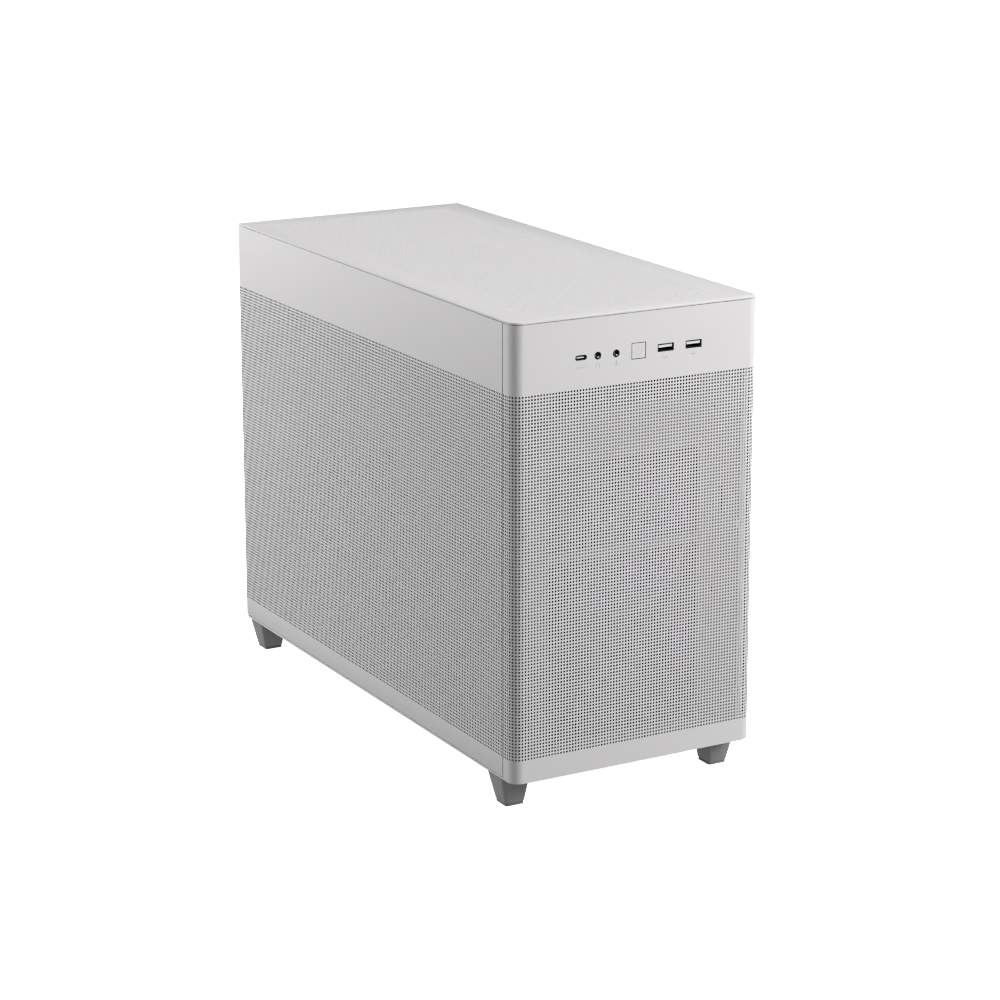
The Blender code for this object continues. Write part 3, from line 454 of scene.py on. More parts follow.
def perforated(
    columns, rows, pitch_u, pitch_v, hole, thickness, place, first=0, count=None, open_cells=None
):
    """A sheet of square cells, each with an eight-sided hole. place(u, v, depth) says where its points go.

    u cross v has to point out of the sheet. Only count columns of cells are made, from the first one on.
    open_cells, an array of columns by rows, says which cells have a hole. Without it they all do.
    """
    count = columns - first if count is None else count
    is_open = np.ones(count * rows, bool) if open_cells is None else open_cells.ravel()
    octant = math.pi / 8 + np.arange(8) * math.pi / 4
    radius = hole / math.cos(math.pi / 8)
    along_u, along_v = (first + np.arange(count + 1)) * pitch_u, np.arange(rows + 1) * pitch_v
    corner_u, corner_v = np.meshgrid(along_u, along_v, indexing="ij")
    middle_u, middle_v = np.meshgrid(along_u[:-1] + pitch_u / 2, along_v[:-1] + pitch_v / 2, indexing="ij")
    ring_u = (middle_u.ravel()[is_open, None] + radius * np.cos(octant)).ravel()
    ring_v = (middle_v.ravel()[is_open, None] + radius * np.sin(octant)).ravel()
    u = np.concatenate([corner_u.ravel(), ring_u])
    v = np.concatenate([corner_v.ravel(), ring_v])
    layer = len(u)
    points = np.concatenate([place(u, v, 0.0), place(u, v, thickness)])
    corners = np.arange((count + 1) * (rows + 1)).reshape(count + 1, rows + 1)
    around = [corners[:-1, :-1], corners[1:, :-1], corners[1:, 1:], corners[:-1, 1:]]
    cells = np.stack(around, -1).reshape(-1, 4)
    a, b, c, d = cells[is_open].T
    ring = corners.size + np.arange(is_open.sum() * 8).reshape(-1, 8)
    quads = [(b, c, ring[:, 0], ring[:, 7]), (c, d, ring[:, 2], ring[:, 1])]
    quads += [(d, a, ring[:, 4], ring[:, 3]), (a, b, ring[:, 6], ring[:, 5])]
    triangles = [(c, ring[:, 1], ring[:, 0]), (d, ring[:, 3], ring[:, 2])]
    triangles += [(a, ring[:, 5], ring[:, 4]), (b, ring[:, 7], ring[:, 6])]
    face_quads = np.concatenate([cells[~is_open], *(np.stack(q, 1) for q in quads)])
    face_triangles = np.concatenate([np.stack(t, 1) for t in triangles])
    walls = [
        np.stack([ring[:, k], ring[:, (k + 1) % 8], ring[:, (k + 1) % 8] + layer, ring[:, k] + layer], 1)
        for k in range(8)
    ]
    rim = np.concatenate([corners[:, 0], corners[-1, 1:], corners[-2::-1, -1], corners[0, -2::-1]])
    walls.append(np.stack([rim[1:], rim[:-1], rim[:-1] + layer, rim[1:] + layer], 1))
    all_quads = np.concatenate([face_quads, face_quads[:, ::-1] + layer, *walls])
    all_triangles = np.concatenate([face_triangles, face_triangles[:, ::-1] + layer])
    first_wall = 2 * len(face_quads)
    return mesh_from(points, all_quads, all_triangles, first_wall, first_wall + 8 * len(ring))


def mesh_from(points, quads, triangles, first_wall, end_wall):
    """A mesh whose faces from first_wall to end_wall, the walls of its holes, take its second material."""
    mesh = bpy.data.meshes.new("perforated")
    mesh.vertices.add(len(points))
    mesh.vertices.foreach_set("co", points.astype(np.float32).ravel())
    mesh.loops.add(quads.size + triangles.size)
    order = np.concatenate([quads.ravel(), triangles.ravel()])
    mesh.loops.foreach_set("vertex_index", order.astype(np.int32))
    mesh.polygons.add(len(quads) + len(triangles))
    starts = np.concatenate([np.arange(len(quads)) * 4, quads.size + np.arange(len(triangles)) * 3])
    mesh.polygons.foreach_set("loop_start", starts.astype(np.int32))
    looks = np.zeros(len(starts), np.int32)
    looks[first_wall:end_wall] = 1
    mesh.polygons.foreach_set("material_index", looks)
    mesh.update(calc_edges=True)
    return mesh


# by default the holes' walls take the dark grey paint, which is painted shade inside the holes
def perforated_pieces(body, columns, rows, parts, place, pitch_u=PITCH, hole=HOLE, walls=HOLE_WALL_SHADE):
    """A panel's sheet in several pieces, each light enough to be kept whole."""
    for n in range(parts):
        first = columns * n // parts
        count = columns * (n + 1) // parts - first
        mesh = perforated(columns, rows, pitch_u, PITCH, hole, SKIN, place, first, count)
        item = piece(f"{body}_mesh_{n + 1}", mesh, MESH_PAINT, body)
        item.data.materials.append(walls)


def stacked(x, y, z):
    """Rows of (x, y, z) from arrays and plain numbers."""
    return np.stack(np.broadcast_arrays(x, y, z), 1)


# ---- Outer panels ---------------------------------------------------------------------------------------


PROUD = 0.03  # how far the printed signs stand out of the front panel's face
FACE = FRONT + PROUD
RETURN = SEAM - FACE - CORNER_RADIUS  # flat part of the front panel's side
CORNER_LENGTH = math.pi / 2 * CORNER_RADIUS
FLAT = RIGHT - LEFT - 2 * CORNER_RADIUS
GIRTH = 2 * RETURN + 2 * CORNER_LENGTH + FLAT


def round_the_front(u, v, depth):
    """Places u along the front panel's outside, from the left seam round to the right seam."""
    turn_1 = np.clip((u - RETURN) / CORNER_LENGTH, 0, 1) * math.pi / 2
    turn_2 = np.clip((u - RETURN - CORNER_LENGTH - FLAT) / CORNER_LENGTH, 0, 1) * math.pi / 2
    along_left = np.clip(u, 0, RETURN)
    along_front = np.clip(u - RETURN - CORNER_LENGTH, 0, FLAT)
    along_right = np.clip(u - RETURN - 2 * CORNER_LENGTH - FLAT, 0, RETURN)
    radius = CORNER_RADIUS - depth
    x = LEFT + CORNER_RADIUS - radius * np.cos(turn_1) + along_front + radius * np.sin(turn_2)
    y = SEAM - along_left - radius * np.sin(turn_1)
    y = y + radius * (1 - np.cos(turn_2)) + along_right
    return stacked(x, y, MESH_BOTTOM + v)


def front_outline(thickness):
    """The front panel's plan: outside from the left seam to the right one, and back along the inside."""
    x, y = RIGHT - CORNER_RADIUS, FACE + CORNER_RADIUS
    outside, inside = CORNER_RADIUS, CORNER_RADIUS - thickness
    outer = arc(-x, y, outside, 180, 270, 12) + arc(x, y, outside, 270, 360, 12)
    inner = arc(x, y, inside, 360, 270, 12) + arc(-x, y, inside, 270, 180, 12)
    ends = [(RIGHT, SEAM), (RIGHT - thickness, SEAM)]
    return [(LEFT, SEAM), *outer, *ends, *inner, (LEFT + thickness, SEAM)]


def chamfer_rim(bm, height, width):
    """Takes the edge off where the shape's rim lies at this height."""
    bevel(bm, [e for e in bm.edges if all(abs(v.co.z - height) < NEAR for v in e.verts)], width)


def bevel(bm, edges, width):
    """Bevels edges at the case's real size, since Blender's result depends on the size of the shape."""
    bm.transform(Matrix.Scale(MM, 4))
    bmesh.ops.bevel(bm, geom=edges, offset=width * MM, segments=2, profile=0.5, affect="EDGES")
    bm.transform(Matrix.Scale(1 / MM, 4))


def cut_with(bm, cutters):
    """Takes the cutters, prisms given as (outline, axis, start, stop), out of a closed shape."""
    made = []
    for source in (bm, *cutters):
        shape = source
        if not isinstance(source, bmesh.types.BMesh):
            shape = bmesh.new()
            add_prism(shape, *source)
        bmesh.ops.recalc_face_normals(shape, faces=shape.faces)
        mesh = bpy.data.meshes.new("shape")
        shape.to_mesh(mesh)
        shape.free()
        item = bpy.data.objects.new("shape", mesh)
        bpy.context.collection.objects.link(item)
        made.append(item)
    for cutter in made[1:]:
        step = made[0].modifiers.new("cut", "BOOLEAN")
        step.object = cutter
    bpy.context.view_layer.update()
    mesh = bpy.data.meshes.new_from_object(made[0].evaluated_get(bpy.context.evaluated_depsgraph_get()))
    for item in made:
        bpy.data.objects.remove(item)
    result = bmesh.new()
    result.from_mesh(mesh)
    bpy.data.meshes.remove(mesh)
    return result


BUTTON_X, _, SOCKET_Z = middle("power_button")
CAP_WIDTH = 10.9
CAP_HOLE = 12.0


def front_panel():
    """Mesh that runs round both corners, between a tall plain band with the sockets and a low one."""
    columns = round(GIRTH / PITCH)
    perforated_pieces("front_panel", columns, ROWS, 3, round_the_front, GIRTH / columns)
    through = ("Y", FRONT - 5, FRONT + 5)
    cutters = [(centred(BUTTON_X, SOCKET_Z, CAP_HOLE, CAP_HOLE), *through)]
    for node in ("usb_a_port_left", "usb_a_port_right"):
        x = middle(node).x
        cutters.append((rounded(x - 6.85, SOCKET_Z - 2.95, x + 6.85, SOCKET_Z + 2.95, 0.4, 2), *through))
    for node in ("headphone_jack", "microphone_jack"):
        cutters.append((circle(middle(node).x, SOCKET_Z, 2.85, 32), *through))
    x = middle("usb_c_port").x
    cutters.append((rounded(x - 4.8, SOCKET_Z - 1.95, x + 4.8, SOCKET_Z + 1.95, 1.9, 6), *through))
    band = bmesh.new()
    add_prism(band, front_outline(BAND), "Z", MESH_TOP, PANEL_TOP)
    chamfer_rim(band, PANEL_TOP, 0.5)
    piece("front_panel_band", cut_with(band, cutters), PAINT, "front_panel", stands_for=["front_panel"])
    foot_band = bmesh.new()
    add_prism(foot_band, front_outline(BAND), "Z", PANEL_BOTTOM, MESH_BOTTOM)
    chamfer_rim(foot_band, PANEL_BOTTOM, 0.5)
    piece("front_panel_foot_band", foot_band, PAINT, "front_panel")
    hems, filters = [], []
    for side in (-1, 1):
        outer, inner = side * (RIGHT - 1.25), side * (RIGHT - 5)
        hems.append(between(outer, inner, SEAM - SKIN, SEAM - 0.1, PANEL_BOTTOM + 2, PANEL_TOP - 2))
        outer, inner = side * (RIGHT - SKIN - 0.1), side * (RIGHT - SKIN - 0.3)
        back, low_z, high_z = FACE + CORNER_RADIUS, MESH_BOTTOM + 0.05, MESH_TOP - 0.05
        filters.append(between(outer, inner, back, SEAM - 0.5, low_z, high_z))
    boxes("front_panel_hems", hems, PAINT, "front_panel")
    boxes("front_panel_filter", filters, FILTER, "front_panel")


def side_panel(name, side):
    """Mesh from the seam to the rear, between plain bands, with folded edges and four snap studs.

    A dust filter lies behind the mesh, a dark sheet behind the lower band as painted shade there, and a
    dark strip in the front seam as painted shade in the seam's gap.
    """
    start, end = SEAM + SEAM_GAP, REAR
    length = end - start
    columns = round(length / PITCH)
    face = side * RIGHT

    def place(u, v, depth):
        y = end - u if side < 0 else start + u
        return stacked(face - side * depth, y, MESH_BOTTOM + v)

    def inside(depth):
        return face - side * depth

    perforated_pieces(name, columns, ROWS, 5, place, length / columns, SIDE_HOLE)
    for label, low_z, high_z, rim in (
        ("band", MESH_TOP, SIDE_TOP, SIDE_TOP),
        ("foot_band", SIDE_BOTTOM, MESH_BOTTOM, SIDE_BOTTOM),
    ):
        band = bmesh.new()
        add_box(band, *between(face, inside(BAND), start, end, low_z, high_z))
        chamfer_rim(band, rim, 0.4)
        piece(f"{name}_{label}", band, PAINT, name, stands_for=[name] if label == "band" else ())
    folds = [
        between(inside(BAND), inside(8), start + 28, end - 30, low_z, low_z + 0.9)
        for low_z in (SIDE_TOP - 1.2, SIDE_BOTTOM + 0.1)
    ]
    behind = BAND + 0.05
    for y in (start + 0.1, end - 0.9):
        folds.append(between(inside(behind), inside(4), y, y + 0.8, SIDE_BOTTOM + 3, SIDE_TOP - 3))
    boxes(f"{name}_folds", folds, PAINT, name)
    outer, inner = inside(SKIN + 0.1), inside(SKIN + 0.3)
    dust = between(outer, inner, start + 0.3, end - 0.3, MESH_BOTTOM + 0.05, MESH_TOP - 0.05)
    boxes(f"{name}_filter", [dust], FILTER, name)
    # a dark sheet behind the lower band: painted shade on the band's inside
    outer, inner = inside(behind), inside(behind + 0.15)
    shade_lining = between(outer, inner, start + 1, end - 1, SIDE_BOTTOM + 1.05, MESH_BOTTOM + 0.6)
    boxes(f"{name}_lining", [shade_lining], FILTER, name)
    # a dark grey strip in the seam's gap: painted shade in the gap
    shade_seal = between(inside(0.2), inside(4), start - 0.2, start - 0.02, SIDE_BOTTOM + 0.3, SIDE_TOP - 0.3)
    boxes(f"{name}_seal", [shade_seal], GREY_PLASTIC, name, slot="rubber")
    studs = bmesh.new()
    head = [(0.0, 0.0), (2.6, 0.0), (2.6, -0.8), (1.3, -1.0)]
    tip = [(1.3, -2.6), (2.1, -3.6), (1.6, -5.0), (0.0, -5.4)]
    for y in (-160, 170):
        for z in (SIDE_BOTTOM + 8, SIDE_TOP - 16):
            profile = [(radius, side * along) for radius, along in head + tip]
            add_turned(studs, profile, "X", (inside(BAND), y, z), 16)
    piece(f"{name}_studs", studs, STEEL, name)


def top_panel():
    """The lid: a plain margin with a chamfer, a perforated field, and two slotted tabs at the back."""
    columns, rows = 170, 65
    width, length = rows * PITCH, columns * PITCH
    start = FRONT + 23

    def place(u, v, depth):
        return stacked(width / 2 - v, start + u, HIGH.z - depth)

    perforated_pieces("top_panel", columns, rows, 3, place, PITCH, LID_HOLE, MESH_PAINT)
    x, y = RIGHT - CORNER_RADIUS, FRONT + CORNER_RADIUS
    corners = arc(-x, y, CORNER_RADIUS, 180, 270, 12) + arc(x, y, CORNER_RADIUS, 270, 360, 12)
    field = rectangle(-width / 2, start, width / 2, start + length)
    margin = sheet([[(RIGHT, REAR), (LEFT, REAR), *corners], field], "Z", LID_LOW, HIGH.z)
    bevel(margin, [e for e in margin.edges if is_lid_rim(e, width / 2 + 10)], 0.4)
    piece("top_panel_margin", margin, PAINT, "top_panel", stands_for=["top_panel"])
    tab_y = REAR - 5.8
    for label in ("left", "right"):
        x, _, z = middle(f"thumbscrew_{label}")
        slot = arc(x, z, 2.2, 180, 0, 8)
        shape = [(x + 9, LID_LOW + 0.5), (x - 9, LID_LOW + 0.5), (x - 9, z - 5), (x - 2.2, z - 5)]
        shape += [*slot, (x + 2.2, z - 5), (x + 9, z - 5)]
        prisms(f"top_panel_tab_{label}", [(shape, "Y", tab_y, tab_y + 1.2)], PAINT, "top_panel")


def is_lid_rim(edge, reach):
    """Tells whether a level edge runs round the lid, at its top or bottom, beyond reach from x = 0."""
    ends = [vert.co for vert in edge.verts]
    at_height = all(abs(c.z - HIGH.z) < NEAR or abs(c.z - LID_LOW) < NEAR for c in ends)
    is_level = abs(ends[0].z - ends[1].z) < NEAR
    is_corner = len(edge.link_faces) == 2 and any(abs(f.normal.z) < 0.5 for f in edge.link_faces)
    return at_height and is_level and is_corner and max(abs(c.x) for c in ends) > reach


# ---- Front sockets --------------------------------------------------------------------------------------


def usb_a(node):
    """Folded steel shell, white tongue in the upper half, four contacts under it."""
    low, high = box(node)
    x, face = middle(node).x, low.y
    shell = bmesh.new()
    add_prism(shell, rounded(low.x, low.z, high.x, high.z, 0.5, 3), "Y", face, high.y)
    mouth = rounded(low.x + 0.35, low.z + 0.35, high.x - 0.35, high.z - 0.35, 0.3, 2)
    shell = cut_with(shell, [(mouth, "Y", face - 1, high.y - 1)])
    piece(f"{node}_shell", shell, DARK_STEEL, stands_for=[node])
    tongue = (centred(x, SOCKET_Z + 0.95, 11.4, 1.9), "Y", face + 0.5, high.y - 0.9)
    prisms(f"{node}_tongue", [tongue], SOCKET_WHITE, edge=0.15)
    spots = [centred(x + offset, SOCKET_Z - 0.1, 1.0, 0.2) for offset in (-3.5, -1.0, 1.0, 3.5)]
    prisms(f"{node}_contacts", [(spot, "Y", face + 1.4, high.y - 2) for spot in spots], COPPER)


def usb_c(node):
    """Round-ended steel shell with a tongue in its middle, and the plinth that holds it at the back."""
    low, high = box(node)
    x, face = middle(node).x, low.y

    def pill(wide, tall):
        return rounded(x - wide, SOCKET_Z - tall, x + wide, SOCKET_Z + tall, tall * 0.98, 8)

    shell = bmesh.new()
    add_prism(shell, pill(4.45, 1.6), "Y", face, face + 11)
    shell = cut_with(shell, [(pill(4.13, 1.28), "Y", face - 1, face + 9.5)])
    piece(f"{node}_shell", shell, DARK_STEEL, stands_for=[node])
    tongue = (centred(x - 0.2, SOCKET_Z, 6.2, 0.9), "Y", face + 0.4, face + 9)
    prisms(f"{node}_tongue", [tongue], SOCKET_WHITE, edge=0.2)
    plinth = ((x - 4.4, face + 10.5, low.z), (x + 4.4, high.y, SOCKET_Z + 0.5))
    boxes(f"{node}_plinth", [plinth], DARK_PLASTIC, edge=0.3)


def audio_jack(node):
    """Black collar with a bright ring inside, two pale contact springs that are partly painted highlights
    on the collar's rim, and a body behind.
    """
    low, high = box(node)
    x, face = middle(node).x, low.y
    for label, look, radius, bore, start, stop, cut_start, cut_stop, how in (
        ("collar", GLOSS_BLACK, 2.75, 1.8, 0, 9, -1, 8.5, {"stands_for": [node], "edge": 0.25}),
        ("ring", NICKEL, 1.78, 1.45, 3.6, 6, 0, 5.9, {}),
    ):
        tube = bmesh.new()
        steps = 32 if label == "collar" else 24
        add_prism(tube, circle(x, SOCKET_Z, radius, steps), "Y", face + start, face + stop)
        tube = cut_with(tube, [(circle(x, SOCKET_Z, bore, 24), "Y", face + cut_start, face + cut_stop)])
        piece(f"{node}_{label}", tube, look, **how)
    # pale springs just behind the mouth, where the collar's rim shows highlights: partly real springs,
    # partly painted highlights
    spots = [centred(x + 0.75, SOCKET_Z - 1.35, 1.3, 0.9), centred(x - 1.75, SOCKET_Z + 0.1, 0.55, 0.9)]
    prisms(f"{node}_springs", [(spot, "Y", face + 0.12, face + 3.5) for spot in spots], SPRING_HIGHLIGHT, edge=0.15)
    body = ((low.x, face + 9.05, low.z), (high.x, high.y, high.z))
    boxes(f"{node}_body", [body], DARK_PLASTIC, edge=0.3)


def power_button():
    """Square cap with rounded edges, a dark skirt behind it as painted shade in the gap round it, its stem,
    and a faint ring-and-bar sign.
    """
    low, high = box("power_button")
    cap = bmesh.new()
    half = CAP_WIDTH / 2
    outline = rounded(BUTTON_X - half, SOCKET_Z - half, BUTTON_X + half, SOCKET_Z + half, 0.5, 4)
    add_prism(cap, outline, "Y", low.y, low.y + 0.4)
    piece("power_button_cap", cap, PAINT, "power_button", stands_for=["power_button"], edge=0.1)
    # the cap is white only at its face; its dark skirt is painted shade in the gap round the cap
    prisms("power_button_shade_skirt", [(outline, "Y", low.y + 0.4, low.y + 3.4)], DARK_PLASTIC, "power_button")
    shape = (centred(BUTTON_X, SOCKET_Z, 5, 5), "Y", low.y + 3.45, high.y)
    prisms("power_button_stem", [shape], WHITE_PLASTIC, "power_button", edge=0.3)
    guide = bmesh.new()
    outer = CAP_HOLE - 0.1
    add_frame(guide, BUTTON_X, SOCKET_Z, outer, outer, 0.4, FACE + 0.3, FACE + 1.15)
    piece("power_button_guide", guide, DARK_PLASTIC, "front_panel")
    sign = bmesh.new()
    deep, out = low.y + 0.01, low.y - 0.03
    z = SOCKET_Z - 0.4
    ring = arc(BUTTON_X, z, 2.8, 125, 415, 28) + arc(BUTTON_X, z, 2.35, 415, 125, 28)
    add_prism(sign, ring, "Y", out, deep)
    add_prism(sign, centred(BUTTON_X, z + 2.5, 0.5, 2.8), "Y", out, deep)
    piece("power_button_sign", sign, FAINTER_INK, "power_button")


def printed_signs():
    """Small generic signs under the sockets: bars, headphones, a microphone and two squares on a stalk."""
    deep, out = FACE + 0.01, FRONT
    z = SOCKET_Z - 7.0
    ink = bmesh.new()

    def mark(outline):
        add_prism(ink, outline, "Y", out, deep)

    x = middle("usb_c_port").x
    for n in range(4):
        mark(centred(x + n * 1.7 - 3.2, z, 1.1, 0.5 if n % 2 else 0.9))
    mark(centred(x + 4.0, z + 0.4, 0.6, 1.8))
    x = middle("headphone_jack").x
    mark(arc(x, z, 1.7, 180, 0, 12) + arc(x, z, 1.35, 0, 180, 12))
    for side in (-1, 1):
        mark(centred(x + side * 1.5, z - 0.6, 0.8, 1.3))
    x = middle("microphone_jack").x
    mark(rounded(x - 0.6, z - 0.6, x + 0.6, z + 1.9, 0.55))
    mark(arc(x, z - 0.1, 1.5, 360, 180, 12) + arc(x, z - 0.1, 1.2, 180, 360, 12))
    mark(centred(x, z - 2.0, 0.35, 0.9))
    for node in ("usb_a_port_left", "usb_a_port_right"):
        x = middle(node).x
        mark(centred(x, z, 3.0, 0.4))
        mark(circle(x - 1.5, z, 0.55, 12))
        mark(centred(x + 0.9, z + 0.8, 0.8, 0.9))
        mark(centred(x + 0.1, z - 0.8, 0.8, 0.9))
    piece("front_panel_signs", ink, FAINT_INK, "front_panel")


# ---- Feet and base --------------------------------------------------------------------------------------


def feet():
    """Square feet that widen upwards, with rounded edges, on darker pads."""
    for label in ("front_left", "front_right", "rear_left", "rear_right"):
        node, pad_node = f"foot_{label}", f"foot_pad_{label}"
        low, high = box(node)
        pad_low, pad_high = box(pad_node)
        base, rim = pad_high.z + 0.1, 0.4
        top = PANEL_BOTTOM - 0.05
        levels = (
            (pad_low.x + rim, pad_low.y + rim, pad_high.x - rim, pad_high.y - rim, base),
            (pad_low.x, pad_low.y, pad_high.x, pad_high.y, base + 2 * rim),
            (low.x, low.y, high.x, high.y, top),
        )
        block = bmesh.new()
        rings = []
        for low_x, low_y, high_x, high_y, z in levels:
            outline = rounded(low_x, low_y, high_x, high_y, 2.4, 5)
            rings.append([block.verts.new((u, v, z)) for u, v in outline])
        join_rings(block, rings)
        piece(f"{node}_block", block, FOOT_PLASTIC, stands_for=[node])
        x, y, _ = middle(pad_node)
        boxes(f"{node}_neck", [((x - 8, y - 8, top), (x + 8, y + 8, 27.7))], FOOT_PLASTIC)
        outline = rounded(pad_low.x + 0.5, pad_low.y + 0.5, pad_high.x - 0.5, pad_high.y - 0.5, 2)
        pad = (outline, "Z", pad_low.z, pad_high.z)
        prisms(f"{pad_node}_rubber", [pad], FOOT_RUBBER, stands_for=[pad_node], edge=0.5)


def base_lips():
    """The folded edge of the base that shows under each side panel, with a black strip on it as painted
    shade in the gap below the panel.
    """
    for label, side in (("left", -1), ("right", 1)):
        for name, look, outer, low_z, high_z, edge in (
            ("base_lip", PAINT, RIGHT - 0.05, PANEL_BOTTOM, SIDE_BOTTOM - 0.6, 0.25),
            # the black strip over the lip: painted shade in the gap under the side panel
            ("base_lip_seal", RUBBER, RIGHT - 0.9, SIDE_BOTTOM - 0.6, SIDE_BOTTOM - 0.05, 0),
        ):
            lip = between(side * outer, side * (RIGHT - 2.8), SEAM + 0.4, REAR - 1, low_z, high_z)
            boxes(f"{name}_{label}", [lip], look, edge=edge)


# ---- Inner steel ----------------------------------------------------------------------------------------


def add_screws(bm, spots, axis, head_at, out, radius=3.4):
    """Pan heads with a cross recess. out is +1 or -1, the way the heads stand from head_at."""
    order = {"X": (2, 0, 1), "Y": (0, 2, 1), "Z": (0, 1, 2)}[axis]
    head = [(0.0, 0.0), (1.0, 0.0), (1.0, 0.35), (0.86, 0.55), (0.55, 0.66)]
    recess = [(0.36, 0.66), (0.30, 0.30), (0.0, 0.25)]
    profile = [(radius * r, out * radius * h) for r, h in head + recess]
    for u, v in spots:
        place = (u, v, head_at)
        add_turned(bm, profile, axis, [place[i] for i in order], 16)


def screws(name, spots, axis, head_at, out, radius, look=STEEL):
    """A piece made of screw heads only, all on the case."""
    heads = bmesh.new()
    add_screws(heads, spots, axis, head_at, out, radius)
    piece(name, heads, look)


def front_frame():
    """The steel behind the front panel: rounded windows with turned-in lips, screw holes and snap sockets.
    """
    low, high = box("front_frame")
    outline = rectangle(low.x, low.z, high.x, high.z)
    windows = [(-65, 44, 62, 180.5), (-65, 187, 62, 254), (-62, 291.5, 62, 345)]
    rounds = [rounded(*window, 4) for window in windows]
    holes = [circle(x, z, 1.9, 12) for x, z in ((75, 142), (-69, 142), (74, 281), (-50, 37), (-18, 37))]
    holes += [circle(x, z, 1.9, 12) for x, z in ((17, 37), (28, 37), (-74, 281), (85, 60), (-85, 60))]
    slots = [rectangle(-80, 280.5, -64, 284), rectangle(80, 200, 84, 220)]
    plate = sheet([outline, *rounds, *holes, *slots], "Y", low.y, high.y, 0.15)
    # the plate and its lips are dark grey: painted shade behind the front panel
    piece("front_frame_plate", plate, SHADED_FRAME_PAINT, stands_for=["front_frame"])
    lips = [
        ((low_x + 6, high.y + 0.02, z), (high_x - 6, high.y + 5, z + 0.8))
        for low_x, low_z, high_x, high_z in windows[:2]
        for z in (low_z - 0.9, high_z + 0.1)
    ]
    boxes("front_frame_lips", lips, SHADED_FRAME_PAINT, edge=0.2)
    sockets = bmesh.new()
    profile = [(0, 0), (2.6, 0), (2.6, -2.6), (1.7, -2.6), (1.5, -0.6)]
    for x in (-96.5, 96.5):
        for z in (60, 190, 340):
            add_turned(sockets, profile, "Y", (x, low.y, z), 16)
    piece("front_frame_snap_sockets", sockets, WHITE_PLASTIC)


def rear_panel():
    """The rear plate: fan vent, side vent, card slots and socket openings, with its screws."""
    low, high = box("rear_panel")
    fan_x, _, fan_z = middle("rear_fan_frame")
    pitch = 4.8
    fields = []
    for label, x, z, columns, rows, is_round in (
        ("fan_vent", fan_x, fan_z, 24, 24, True),
        ("side_vent", -71, 125, 9, 22, False),
    ):
        wide, tall = columns * pitch, rows * pitch

        def place(u, v, depth, end_x=x + wide / 2, start_z=z - tall / 2):
            return stacked(end_x - u, high.y - depth, start_z + v)

        fields.append(centred(x, z, wide, tall))
        open_cells = None
        if is_round:
            across = np.abs(np.arange(columns) - (columns - 1) / 2)
            distance = np.hypot(across[:, None], across[None, :])
            open_cells = (distance < 12.2) & (distance > 3.4)
        mesh = perforated(columns, rows, pitch, pitch, 2.0, high.y - low.y, place, 0, None, open_cells)
        item = piece(f"rear_panel_{label}", mesh, PAINT)
        item.data.materials.append(PAINT)
    shape = (centred(-71, 125, 47, 110), "Y", low.y - 1.6, low.y - 0.05)
    prisms("rear_panel_filter", [shape], FILTER, edge=0.3)
    outline = rectangle(low.x, low.z, high.x, high.z)
    shield_low, shield_high = box("io_shield")
    aperture = rectangle(shield_low.x - 0.3, shield_low.z - 0.3, shield_high.x + 0.3, shield_high.z + 0.3)
    slots = [centred(13, z, 102, 11) for z in CARD_SLOTS]
    inlet_x, _, inlet_z = middle("mains_inlet")
    inlet_face = box("mains_inlet")[1].y
    inlet = centred(inlet_x, inlet_z, 27.4, 20.4)
    bolts = [circle(x, 354, 2, 16) for x in (-70, 70)]
    small = [circle(x, z, 1.6, 12) for x, z in ((92, 40), (-92, 40), (-92, 340), (92, 340), (20, 345))]
    plate = sheet([outline, aperture, *slots, inlet, *bolts, *small, *fields], "Y", low.y, high.y)
    piece("rear_panel_plate", plate, PAINT, stands_for=["rear_panel"])
    spots = fan_corners("rear_fan_frame")
    screws("rear_fan_screws", spots, "Y", high.y, 1, radius=3.9, look=BLACK_STEEL)
    spots = [(92, 60), (92, 200), (92, 320), (-92, 60), (-92, 180), (-92, 320)]
    screws("rear_panel_screws", spots, "Y", high.y, 1, radius=2.8, look=WHITE_STEEL)
    screws("slot_screws", [(72, z) for z in CARD_SLOTS], "Y", high.y, 1, radius=3.2)
    spots = [(inlet_x + u * 20, inlet_z) for u in (-1, 1)]
    screws("mains_inlet_screws", spots, "Y", inlet_face, 1, radius=2.6, look=BLACK_STEEL)
    pins = [centred(inlet_x + u, inlet_z + v, 2.3, 4.3) for u, v in ((-7, 2.0), (0, 5.2), (7, 2.0))]
    shapes = [(pin, "Y", inlet_face - 17, inlet_face - 2.7) for pin in pins]
    prisms("mains_inlet_pins", shapes, NICKEL, edge=0.3)


CARD_SLOTS = [145 - n * 20.32 for n in range(4)]  # heights of their middles


def fan_corners(node):
    """The (x, z) of a 120 mm fan frame's four screw holes."""
    x, _, z = middle(node)
    return [(x + u * 52.5, z + v * 52.5) for u in (-1, 1) for v in (-1, 1)]


